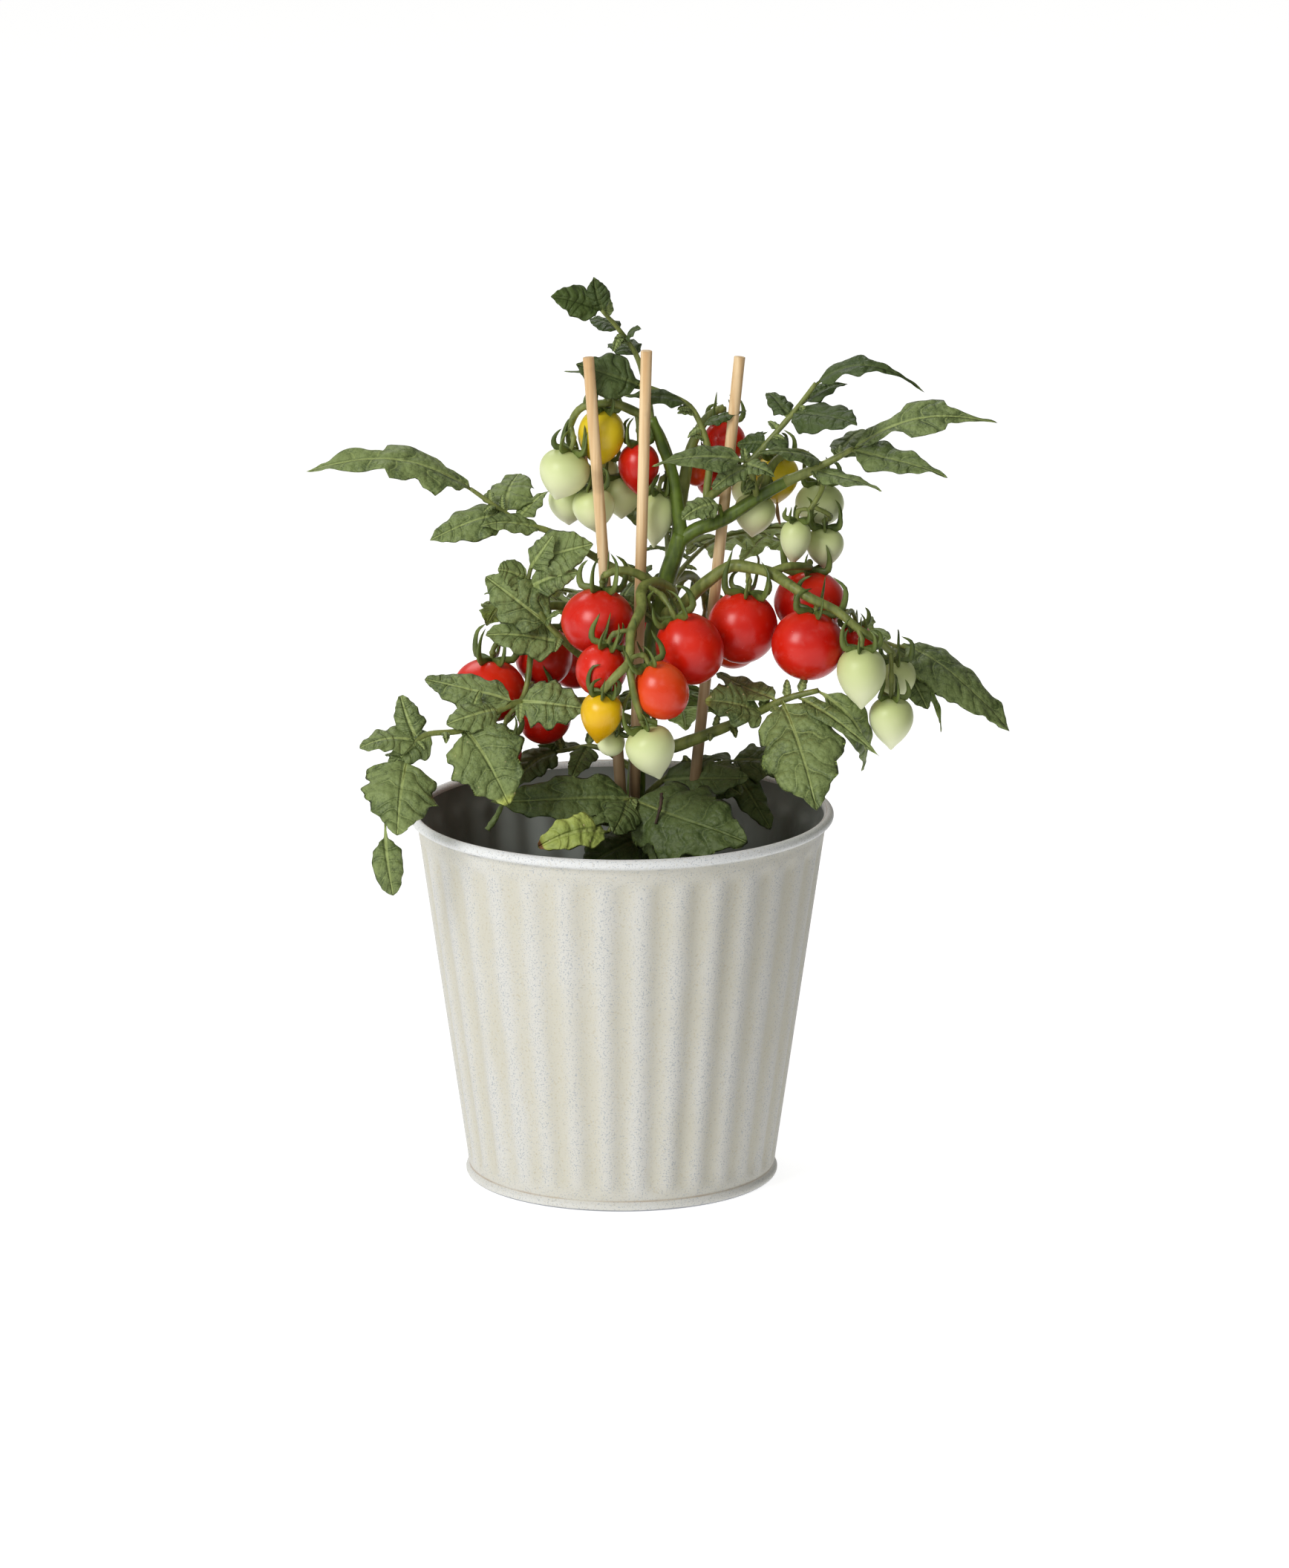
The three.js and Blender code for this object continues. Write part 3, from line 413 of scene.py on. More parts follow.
def makePot():
    roll, foot, sheet = pot["rimRoll"], pot["footRoll"], pot["sheet"]
    rimRadius, rimHeight = pot["rimRadius"] - roll, pot["height"] - roll
    profile = [(radius, 0) for radius in pot["underside"]]
    profile += rolledEdge(pot["footRadius"] - foot, foot, foot, range(-90, 85, 25))
    profile += [(wallRadius(pot["footTop"]) - pot["footGap"], pot["footTop"])]
    profile += [(wallRadius(z), z) for z in pot["outside"]]
    profile += rolledEdge(rimRadius, rimHeight, roll, range(-105, 215, 20))
    profile += [(wallRadius(z) - sheet, z) for z in pot["inside"]]
    profile += [(40, pot["floor"]), (0, pot["floor"])]
    piece = Piece("fluted_pot", potPaint(), ("ridge", "rim", "tanLine", "foot"))
    lining = piece.slotOf(potInside())
    piece.spin(profile, pot["steps"])
    for face in piece.bm.faces:
        face.smooth = True
        centre = face.calc_center_median()
        within = centre.to_2d().length < wallRadius(centre.z) - sheet / 2
        if within and pot["floor"] - 0.1 < centre.z < pot["liningTop"]:
            face.material_index = lining
    for vert in piece.bm.verts:
        radius, z = vert.co.to_2d().length, vert.co.z
        turn = atan2(vert.co.x, -vert.co.y) - radians(pot["grooveTurn"])
        fade = blendTo(z, pot["fluteFoot"], pot["fluteFoot"] + pot["fluteFade"])
        fade *= 1 - blendTo(z, pot["fluteTop"] - pot["fluteFade"], pot["fluteTop"])
        wave = 0.5 + 0.5 * cos(pot["flutes"] * turn)
        wall = radius > pot["wallFrom"]
        if wall:
            pressed = 1 - fade * pot["fluteDepth"] * wave / radius
            vert.co.x *= pressed
            vert.co.y *= pressed
        inLip = z > rimHeight + 1 and rimRadius - 1.3 < radius < rimRadius - 0.2
        low, high = pot["rimCrease"]
        # A blue-grey line is painted into the crease under the rim roll as painted shade; it shares the foot
        # mask with the real wear on the foot's lower edge.
        crease = 0.55 if low < z < high and radius > wallRadius(z) - 0.5 else 0.0
        piece.carry(vert, {
            "ridge": (1 - wave) * fade + 0.55 * (1 - fade),
            "rim": 1.0 if z > rimHeight - roll else 0.4 if z < 2 * foot and wall else 0.0,
            "tanLine": 1.0 if abs(z - pot["footTop"]) < 0.3 or inLip else 0.0,
            "foot": max(crease, 1 - blendTo(z, 0.3, 1.5)) if wall else 0.0,
        })
        vert.co *= mm
    piece.done("pot_paint", "pot")
    print("pot done")


# Soil: an uneven closed bed with loose crumbs on it

soil = {
    "top": 108, "gap": 0.5, "edgeDrop": 3, "bedSteps": 96, "swell": 0.8, "rough": 1.6, "fine": 0.7,
    "crumbs": 420, "crumbSize": (0.7, 2.4), "crumbDent": 0.2,
    "rings": (0.98, 0.94, 0.88, 0.8, 0.72, 0.64, 0.56, 0.48, 0.4, 0.32, 0.24, 0.16, 0.08, 0),
    "dark": (44, 31, 22), "light": (92, 68, 46),
}


def soilFinish():
    finish = Finish("potting mix", {"Specular IOR Level": 0.2})
    grain = finish.noise(900, 4)
    finish.colour(grain.ease(0.4, 0.68), soil["dark"], soil["light"])
    finish.roughness(finish.noise(400, 2), 0.8, 1.0)
    finish.bump(grain + finish.noise(260, 3) * 1.5, 0.9, 0.6)
    return finish


def soilHeight(x, y):
    rough = soil["rough"] * noise.noise(Vector((x, y, 0)) * 0.09)
    rough += soil["fine"] * noise.noise(Vector((x, y, 9)) * 0.35)
    return soil["top"] + soil["swell"] * sin(0.21 * x + 1) * cos(0.17 * y) + rough


def makeSoil():
    draw = random.Random(41)
    inset = pot["fluteDepth"] + pot["sheet"] + soil["gap"]
    foot = pot["floor"] + soil["gap"]
    rim = wallRadius(soil["top"]) - inset
    profile = [(0, foot), (wallRadius(foot) - inset, foot), (rim, soil["top"] - soil["edgeDrop"])]
    profile += [(rim * ring, soil["top"]) for ring in soil["rings"]]
    piece = Piece("potting_mix", soilFinish())
    piece.spin(profile, soil["bedSteps"])
    for vert in piece.bm.verts:
        if vert.co.z > soil["top"] - 1:
            vert.co.z = soilHeight(vert.co.x, vert.co.y)
        vert.co *= mm
    for _ in range(soil["crumbs"]):
        turn, radius = draw.random() * fullTurn, rim * 0.97 * draw.random() ** 0.5
        x, y = radius * sin(turn), radius * cos(turn)
        size = draw.uniform(*soil["crumbSize"])
        shape = Matrix.Diagonal((size, size * draw.uniform(0.6, 1), size * draw.uniform(0.4, 0.8), 1))
        turn = draw.random() * fullTurn
        spin = Matrix.Rotation(turn, 4, Vector([draw.random() for _ in range(3)]))
        place = Matrix.Translation(Vector((x, y, soilHeight(x, y) + size * 0.25)) * mm)
        crumb = bmesh.ops.create_icosphere(piece.bm, subdivisions=1, radius=mm, matrix=place @ spin @ shape)
        for vert in crumb["verts"]:
            vert.co += vert.normal * soil["crumbDent"] * size * mm * noise.noise(vert.co * 900)
    piece.done("soil", "potting_soil")
    print("soil done")


# Canes: straight pale sticks with a fine grain, browner near the soil

canePlans = {  # where each meets the soil, and its top
    "cane_left": ((3, -8, 112), (-13, -4, 335)),
    "cane_middle": ((4, 0, 112), (10, -6, 338)),
    "cane_right": ((24, 0, 108), (47, 12, 332)),
}
cane = {"radius": 2.25, "foot": 30, "sides": 20, "steps": 40, "sway": 0.2, "edge": 0.25,
        "edgeStep": 0.12, "rough": 0.02, "pale": (237, 212, 169), "grain": (198, 160, 112),
        "brown": (104, 80, 50)}


def caneFinish():
    finish = Finish("cane wood", {"Specular IOR Level": 0.35})
    fine = finish.noise(420, 4, (1, 1, 0.03))
    broad = finish.noise(90, 2, (1, 1, 0.1))
    wood = finish.mix((fine * 0.7 + broad * 0.5).ease(0.42, 0.78), cane["pale"], cane["grain"])
    low = (1 - finish.number("height")).ease(0.3, 0.85, 0, 0.9)
    stain = finish.noise(55, 3).ease(0.6, 0.8, 0, 0.45)
    finish.colour(low.larger(stain), wood, cane["brown"])
    finish.roughness(fine, 0.5, 0.7)
    finish.bump(fine, 0.35, 0.15)
    return finish


def makeCanes():
    finish = caneFinish()
    steps, sides = cane["steps"], cane["sides"]
    for name, (soilPoint, top) in canePlans.items():
        soilPoint, top = Vector(soilPoint), Vector(top)
        slope = (top - soilPoint) / (top.z - soilPoint.z)
        foot = soilPoint + slope * (cane["foot"] - soilPoint.z)
        seed = len(name) * 3.7
        points = []
        for part in [step / 8 for step in range(9)]:
            sway = Vector((noise.noise((part * 3, seed, 0)), noise.noise((part * 3, seed, 5)), 0))
            points.append(foot.lerp(top, part) + sway * cane["sway"] * sin(pi * part))
        frames = Route(points).frames(steps)

        def place(column, row):
            step = min(max(column - 2, 0), steps)
            centre, across, up = frames[step]
            high = {"height": (centre.z - 110) / 230}
            if column in (0, steps + 4):
                return centre, high
            side = row % sides
            turn = fullTurn * side / sides
            radius = cane["radius"] * (1 + cane["rough"] * noise.noise((step * 0.3, seed, side)))
            if column in (1, steps + 3):
                radius -= cane["edge"]
            else:
                inward = (column == 2) - (column == steps + 2)
                centre = centre + across.cross(up) * cane["edgeStep"] * inward
            return centre + (across * cos(turn) + up * sin(turn)) * radius, high

        piece = Piece("stick_" + name[5:], finish, ("height",))
        piece.bend(steps + 4, sides, place, finish)
        piece.done("cane_wood", name)
    print("canes done")


# Greens: stems with fine down, and leaf blades with a top and an underside

stem = {"hairLength": 1.2, "hairWidth": 0.05, "hairsPerMm": 1.3, "stepLength": 2.2, "trussGirth": 1.22,
        "bright": (94, 114, 34), "shade": (62, 80, 20), "olive": (128, 136, 70), "oliveShade": (90, 100, 44),
        "sepal": (100, 114, 50), "sepalShade": (64, 80, 28), "dry": (190, 152, 112), "down": (196, 204, 164),
        "twig": (72, 56, 44)}
leaf = {"columns": 42, "halfRows": 8, "thickness": 0.34, "laterals": 5.5, "toothDepth": 0.025,
        "edgeNoise": 0.14, "blister": 0.022, "edgeWave": 0.04, "waves": (2.5, 4), "fold": (0.12, 0.3),
        "curl": (0.26, 0.52), "twist": 0.4, "teeth": (5, 7), "bow": 0.04, "hairsPerMm": 1.1, "extraEvery": 13,
        "top": (118, 133, 78), "topDark": (62, 78, 38), "under": (144, 164, 84), "underDark": (112, 134, 58),
        "vein": (150, 164, 98), "deep": (46, 64, 20), "yellow": (186, 196, 100), "brown": (120, 82, 46),
        "speck": (226, 206, 156)}
leafNumbers = ("rib", "vein", "edge", "ageAndShade")


def stemFinish(name, light, dark):
    finish = Finish(name, {"Specular IOR Level": 0.4})
    cloud = finish.noise(120, 3)
    fibre = finish.noise(500, 2, (1, 1, 0.15))
    finish.colour((cloud * 0.6 + fibre * 0.4).ease(0.36, 0.62), dark, light)
    finish.roughness(fibre, 0.4, 0.58)
    finish.bump(fibre + cloud, 0.3, 0.15)
    return finish


def plainFinish(name, tone, roughness):
    finish = Finish(name, {"Roughness": roughness, "Specular IOR Level": 0.3})
    finish.colour(finish.noise(260, 2).ease(0.35, 0.65), [part * 0.72 for part in tone], tone)
    return finish


def bladeFinish(name, light, dark):
    finish = Finish(name, {"Specular IOR Level": 0.35})
    rib, vein, edge, ageAndShade = [finish.number(number) for number in leafNumbers]
    cloud = finish.noise(70, 3)
    grain = finish.noise(1500, 2)
    blister = abs(vein.fraction() - 0.5)
    bulge = finish.cells(360).ease(0.0, 0.9, 1, 0)
    crease = blister.ease(0.25, 0.47)
    # The blade is painted lighter on the blister bulges (painted highlight) and darker along the vein creases
    # (painted shade), over random cloud and grain.
    shade = cloud + bulge * 0.2 - crease * 0.2 + (grain - 0.5) * 0.7
    net = finish.cells(700, "DISTANCE_TO_EDGE").ease(0.02, 0.12, 0.15, 0)
    lateral = blister.ease(0.45, 0.5) * edge.ease(0.4, 1, 0.7, 0.08)
    lines = rib.ease(0.5, 1.1, 0.85, 0).larger(lateral).larger(net)
    lined = finish.mix(lines, finish.mix(shade.ease(0.14, 0.74), dark, light), leaf["vein"])
    # Below zero the blade is mixed towards deep green: partly the leaf's own darker green, partly painted
    # shade on leaves that sit in shade low in the pot and under the fruit; above zero the blade yellows and
    # withers.
    veined = finish.mix(ageAndShade.ease(-1, 0, 0.85, 0), lined, leaf["deep"])
    aged = finish.mix((ageAndShade + (cloud - 0.5) * 0.8).ease(0.35, 1.0, 0, 0.85), veined, leaf["yellow"])
    withered = finish.mix((ageAndShade + (cloud - 0.5) * 0.3).ease(1.1, 1.3), aged, leaf["brown"])
    sore = finish.cells(240).ease(0.07, 0.12, 0.8, 0) * ageAndShade.ease(0.25, 0.4)
    dust = finish.cells(460).ease(0.03, 0.06, 0.4, 0)
    finish.colour(sore.larger(dust), withered, leaf["speck"])
    finish.roughness(cloud, 0.5, 0.64)
    wrinkle = bulge * 0.7 + finish.noise(380, 3) * 0.8 + grain * 0.12
    finish.bump(wrinkle - crease * 0.45 - rib.ease(0.8, 2.4, 0.8, 0), 0.75, 0.9)
    return finish


down = plainFinish("down", stem["down"], 0.6)
dry = plainFinish("dry", stem["dry"], 0.8)
twig = plainFinish("twig", stem["twig"], 0.7)
bright = stemFinish("bright stem", stem["bright"], stem["shade"])
olive = stemFinish("olive stem", stem["olive"], stem["oliveShade"])
sepalGreen = stemFinish("sepal", stem["sepal"], stem["sepalShade"])
topSide = bladeFinish("leaf top", leaf["top"], leaf["topDark"])
underSide = bladeFinish("leaf underside", leaf["under"], leaf["underDark"])


def stalkGirth(start, end, knots=0.12):
    def girth(part, turn):
        return between(start, end, part) * (1 + knots * noise.noise((part * 14, cos(turn), start * 7)))
    return girth


def addStalk(piece, points, radii, draw, hairsPerMm, sides=10):
    route = Route(points)
    girth = stalkGirth(*radii)
    piece.tube(route, girth, sides, max(6, round(route.length / stem["stepLength"])))
    piece.hairs(route, girth, round(route.length * hairsPerMm), stem["hairLength"], draw)


# Leaves: each leaf is a downy stalk with lobed leaflets, a gull-wing fold and blisters between the veins

flat, tilted, steep, away = (0, -0.35, 0.94), (0, -0.6, 0.8), (0, -0.86, 0.5), (0, 0.5, 0.86)
# place along the leaflet, half width there, and how far the lobe reaches forward
outlines = {
    "broad": [(0.05, 0.06, 0), (0.1, 0.5, 0), (0.18, 0.88, 0.04), (0.26, 0.9, 0.03), (0.34, 0.8, 0),
              (0.45, 1, 0.06), (0.54, 0.9, 0.03), (0.62, 0.7, 0), (0.73, 0.68, 0.05), (0.83, 0.44, 0.02),
              (0.92, 0.25, 0), (0.98, 0.11, 0)],
    "spear": [(0.04, 0.25, 0), (0.09, 0.55, 0), (0.13, 0.46, 0), (0.19, 0.9, 0), (0.25, 0.8, 0.03),
              (0.33, 0.66, 0), (0.4, 0.85, 0.04), (0.47, 0.84, 0.07), (0.53, 0.52, 0.01), (0.62, 0.48, 0),
              (0.75, 0.41, 0), (0.89, 0.22, 0)],
    "plain": [(0.06, 0.06, 0), (0.14, 0.55, 0), (0.28, 0.98, 0.04), (0.4, 0.92, 0.02), (0.5, 0.8, 0),
              (0.62, 0.82, 0.05), (0.74, 0.62, 0.02), (0.88, 0.42, 0), (0.97, 0.18, 0)],
    "oval": [(0.05, 0.15, 0), (0.14, 0.6, 0), (0.28, 0.93, 0.02), (0.42, 1, 0.02), (0.58, 0.93, 0),
             (0.74, 0.7, 0), (0.88, 0.4, 0), (0.96, 0.16, 0)],
    "slender": [(0.06, 0.1, 0), (0.16, 0.7, 0.01), (0.28, 1, 0.03), (0.42, 0.86, 0.01), (0.56, 0.82, 0.03),
                (0.72, 0.5, 0.01), (0.88, 0.2, 0)],
    "flag": [(0.05, 0.15, 0), (0.14, 0.5, 0), (0.28, 0.46, 0), (0.35, 0.62, 0), (0.41, 0.96, 0),
             (0.56, 1, 0.01), (0.63, 0.86, 0.02), (0.68, 0.36, 0), (0.8, 0.2, 0), (0.92, 0.1, 0)],
    "drop": [(0.24, 0.12, 0), (0.32, 0.45, 0), (0.45, 0.9, 0), (0.6, 1, 0), (0.76, 0.9, 0), (0.88, 0.66, 0),
             (0.96, 0.36, 0)],
    "longTip": [(0.05, 0.08, 0), (0.1, 0.7, 0), (0.17, 1, 0.03), (0.24, 0.85, 0.01), (0.31, 0.72, 0),
                (0.42, 0.95, 0.04), (0.5, 0.66, 0.02), (0.6, 0.38, 0), (0.75, 0.24, 0), (0.9, 0.1, 0)],
}
# leaves of one or two stalks, each with its points and its leaflets: place on the stalk, outline, tip, width,
# arch and facing; girths gives the radii at a stalk's ends
leafPlans = {
    "leaf_upper_left": [
        (((16, 4, 237), (-5, 8, 248), (-28, 6, 262), (-41, 4, 267), (-60, 0, 281)), [
         (1, "spear", (-125, -10, 291), 26, 9, (-0.1, -0.5, 0.85)),
         (0.78, "oval", (-76, -8, 262), 18, 3, tilted), (0.8, "plain", (-41, 30, 281), 22, 2, flat),
         (0.74, "slender", (-29, 16, 276), 9, 2, flat), (0.62, "oval", (-56, -8, 267), 12, 2, tilted)]),
    ],
    "leaf_middle_left": [
        (((12, 5, 213), (-2, 8, 206), (-15, 5, 211), (-25, -4, 222), (-32, -5, 231), (-37, -1, 243),
          (-35, 0, 252)), [
         (0.52, "plain", (-54, -5, 222), 20, 2, (-0.15, -0.75, 0.6)),
         (0.66, "broad", (-54, -3, 246), 22, 2, (-0.25, -0.8, 0.5)),
         (0.68, "slender", (-24, -12, 233), 8, 1, tilted),
         (0.9, "plain", (-49, -6, 249), 14, 2, (-0.3, -0.7, 0.6)),
         (1, "oval", (-11, -3, 259), 20, 2, (-0.3, -0.8, 0.5)),
         (0.95, "plain", (-27, -4, 263), 13, 2, (-0.3, -0.8, 0.5)),
         (0.86, "plain", (-17, -8, 249), 14, 2, steep)]),
    ],
    "leaf_front_left": [
        (((6, 6, 184), (-8, 6, 190), (-13, -8, 196), (-24, -21, 199), (-42, -32, 201), (-62, -44, 193),
          (-79, -52, 192), (-86, -57, 180), (-93, -60, 160)), [
         (0.45, "broad", (-14, -37, 200), 22, 3, steep), (0.47, "broad", (-78, -26, 209), 21, 3, tilted),
         (0.63, "broad", (-44, -54, 165), 33, 5, (0.1, -0.87, 0.48)),
         (0.62, "slender", (-56, -36, 207), 11, 2, tilted),
         (0.52, "plain", (-69, -48, 196), 17, 4, (0.1, -0.7, 0.7)),
         (0.72, "plain", (-92, -56, 179), 14, 3, steep), (0.77, "plain", (-103, -58, 189), 15, 2, tilted),
         (0.77, "plain", (-87, -44, 207), 13, 1, steep),
         (0.83, "broad", (-88, -76, 158), 32, 4, (0.1, -0.88, 0.45)),
         (1, "drop", (-90, -62, 130), 13, 2, steep)]),
    ],
    "leaf_top": [
        (((12, 8, 306), (10, 16, 318), (6, 19, 331), (-1, 17, 342), (-8, 12, 351)), [
         (1, "oval", (-28, 2, 358), 14, 2, (0.1, -0.85, 0.5), "turned"),
         (0.97, "oval", (-11, 8, 365), 10, 1, steep), (0.68, "slender", (8, 12, 343), 8, 2, tilted),
         (0.5, "plain", (-4, 38, 332), 13, 3, flat), (0.74, "slender", (-14, 30, 344), 10, 2, flat)]),
    ],
    "shoot_top": [
        (((36, 2, 266), (34, 5, 277), (35, 8, 290), (33, 8, 301), (27, 7, 313), (13, 6, 320), (7, 6, 322)), [
         (1, "oval", (-18, 3, 331), 19, 2, steep), (0.72, "slender", (1, -1, 319), 10, 3, tilted),
         (0.92, "slender", (-23, 14, 326), 7, 2, tilted), (0.55, "slender", (50, 12, 310), 7, 2, flat)]),
        (((34, 5, 276), (42, 0, 283), (53, 0, 294), (61, 1, 303), (70, 0, 314), (77, -2, 324)), [
         (1, "longTip", (120, -8, 322), 12, 13, tilted), (0.76, "oval", (93, -24, 311), 20, 3, tilted),
         (0.84, "slender", (90, 12, 321), 9, 2, flat), (0.74, "plain", (58, 12, 317), 10, 2, tilted),
         (0.52, "plain", (46, 8, 297), 11, 2, steep), (0.56, "slender", (66, -9, 295), 10, 2, steep)]),
    ],
    "leaf_centre": [
        (((54, 0, 277), (52, -6, 287), (49, -11, 294)), [
         (1, "slender", (12, -17, 293), 15, 6, tilted), (0.98, "slender", (61, -16, 289), 9, 1, tilted),
         (0.85, "plain", (36, -14, 284), 12, 2, tilted)]),
    ],
    "leaf_upper_right": [
        (((65, -1, 284), (80, -2, 291), (92, -3, 298)), [
         (1, "flag", (149, -8, 310), 19, 8, tilted), (0.95, "slender", (129, -20, 289), 17, 3, tilted),
         (0.55, "slender", (54, -20, 299), 13, 4, flat), (0.4, "slender", (103, -22, 284), 12, 2, flat),
         (0.7, "plain", (98, 22, 300), 14, 3, flat)]),
    ],
    "leaf_front_right": [
        (((7, 6, 172), (14, 2, 174), (22, -4, 177), (46, -18, 190), (66, -28, 202), (78, -31, 206)), [
         (0.7, "broad", (33, -32, 202), 22, 3, (-0.1, -0.7, 0.7)),
         (0.82, "broad", (77, -68, 166), 34, 5, (-0.05, -0.9, 0.42)),
         (0.9, "slender", (102, -50, 184), 10, 3, tilted), (0.8, "plain", (38, -2, 206), 15, 1, flat),
         (1, "slender", (96, -15, 169), 16, 12, (0.6, -0.78, 0.15))]),
    ],
    "leaf_right": [
        (((17, 4, 229), (32, 16, 221), (48, 22, 216), (78, 27, 215), (102, 18, 215), (111, 10, 214)), [
         (1, "broad", (155, -1, 182), 29, 7, (0.35, -0.45, 0.82)),
         (0.96, "plain", (122, -10, 193), 17, 3, steep),
         (0.98, "slender", (127, 4, 180), 11, 6, (0.8, -0.4, 0.3), "turned"),
         (0.82, "slender", (100, 2, 228), 8, 2, flat), (0.8, "plain", (104, 46, 206), 20, 4, away)]),
    ],
    "leaf_low_front": [
        (((5, 8, 123), (11, 1, 132), (12, -8, 145), (8, -18, 157), (1, -25, 159), (-5, -34, 149)), [
         (0.72, "broad", (50, -46, 147), 38, 5, (0.05, -0.78, 0.62)),
         (0.69, "broad", (-52, -32, 161), 24, 3, (0, -0.72, 0.7)),
         (1, "plain", (-33, -47, 146), 17, 4, (0, -0.8, 0.6), "turned"),
         (0.75, "plain", (-3, -48, 152), 18, 2, (0.2, -0.85, 0.5)),
         (0.78, "plain", (-24, -38, 152), 17, 1, tilted), (0.32, "broad", (-16, -38, 134), 22, 3, steep),
         (0.4, "broad", (30, -34, 132), 24, 3, steep), (0.24, "plain", (4, -36, 124), 18, 3, steep)]),
    ],
    "leaf_low_right": [
        (((6, 8, 150), (19, 14, 160), (31, 20, 162), (44, 24, 164)), [
         (1, "broad", (71, 20, 161), 21, 4, tilted), (0.92, "plain", (60, 6, 140), 17, 3, (0.4, -0.8, 0.45)),
         (0.3, "broad", (51, -5, 164), 22, 3, (0, -0.75, 0.66)), (0.7, "broad", (48, -2, 156), 22, 3, steep),
         (0.75, "plain", (40, 46, 158), 18, 4, away)]),
    ],
    "leaf_low_left": [
        (((5, 8, 164), (-10, 14, 172), (-26, 18, 169)), [
         (1, "broad", (-45, 8, 156), 15, 3, tilted), (0.85, "plain", (-30, 42, 160), 18, 4, away),
         (0.6, "plain", (-20, -6, 163), 12, 2, tilted)]),
    ],
    "leaf_back_left": [
        (((10, 6, 204), (2, 26, 216), (-12, 44, 226)), [
         (1, "frond", (-55, 86, 205), 54, 9, away), (0.7, "plain", (12, 60, 236), 15, 3, away)]),
    ],
    "leaf_back_right": [
        (((16, 4, 236), (26, 24, 245), (33, 38, 249)), [
         (1, "frond", (72, 90, 234), 58, 8, away), (0.7, "plain", (8, 48, 244), 14, 3, away)]),
    ],
    "leaf_back_top": [
        (((19, 3, 247), (18, 20, 258), (14, 34, 266)), [
         (1, "frond", (-14, 92, 258), 52, 8, away), (0.75, "plain", (-12, 34, 268), 14, 2, flat)]),
    ],
    "leaf_back_low": [
        (((7, 6, 178), (11, 26, 188), (13, 36, 190)), [
         (1, "frond", (26, 100, 158), 58, 8, away), (0.85, "plain", (40, 42, 178), 15, 3, away)]),
    ],
}
girths = {"shoot_top": (1.8, 0.9), "leaf_upper_right": (2.4, 1.1), "leaf_front_right": (3, 1.1)}
# Per-leaf tone: below zero darkens a leaf towards deep green, partly its own darker green and partly painted
# shade on leaves that sit in shade; the small values above zero lighten the lit left leaves a little, painted
# light.
leafTones = {
    "leaf_top": -0.9, "shoot_top": -0.95, "leaf_centre": -0.4, "leaf_upper_right": -0.45,
    "leaf_low_front": -0.65, "leaf_low_right": -0.7, "leaf_low_left": -0.6, "leaf_right": -0.4,
    "leaf_upper_left": 0.1, "leaf_middle_left": 0.05,
}
# Yellowing by leaflet tip, the leaves' own ageing; the value for the leaflet at (33, -32, 202) also lightens
# a leaflet that sits in the fruits' shadow, painted light.
ages = {(-44, -54, 165): 0.3, (149, -8, 310): 0.2, (-33, -47, 146): 0.75, (33, -32, 202): 0.35}  # by tip
frondPairs = ((0.24, 0.72, "plain"), (0.42, 0.24, "slender"), (0.6, 0.92, "broad"), (0.86, 0.62, "plain"))
stubs = {  # a dead twig and the stub of a stalk: points, girth, sides, steps, finish and numbers
    "leaf_low_front": (((16, -31, 164), (15.6, -34, 160), (13.6, -37, 153)), (0.8, 0.5, 0.5), 6, 12,
                       twig, {}),
    "leaf_front_left": (((-46.7, -46, 164), (-49.5, -48, 158.5), (-53, -49, 153.6)), (0.9, 1.3, 0.3), 8, 10,
                        topSide, {"rib": 3, "ageAndShade": -0.75}),
}


def outlineAt(outline, part):
    rows = [(0, 0.02, 0), *outlines[outline], (1, 0.01, 0)]
    slot = min(max(bisect_right([row[0] for row in rows], part), 1), len(rows) - 1)
    (low, half, forward), (high, nextHalf, nextForward) = rows[slot - 1], rows[slot]
    blend = blendTo(part, low, high)
    return between(half, nextHalf, blend), between(forward, nextForward, blend)


def arched(base, control, tip, part):
    return base * (1 - part) ** 2 + control * 2 * part * (1 - part) + tip * part**2


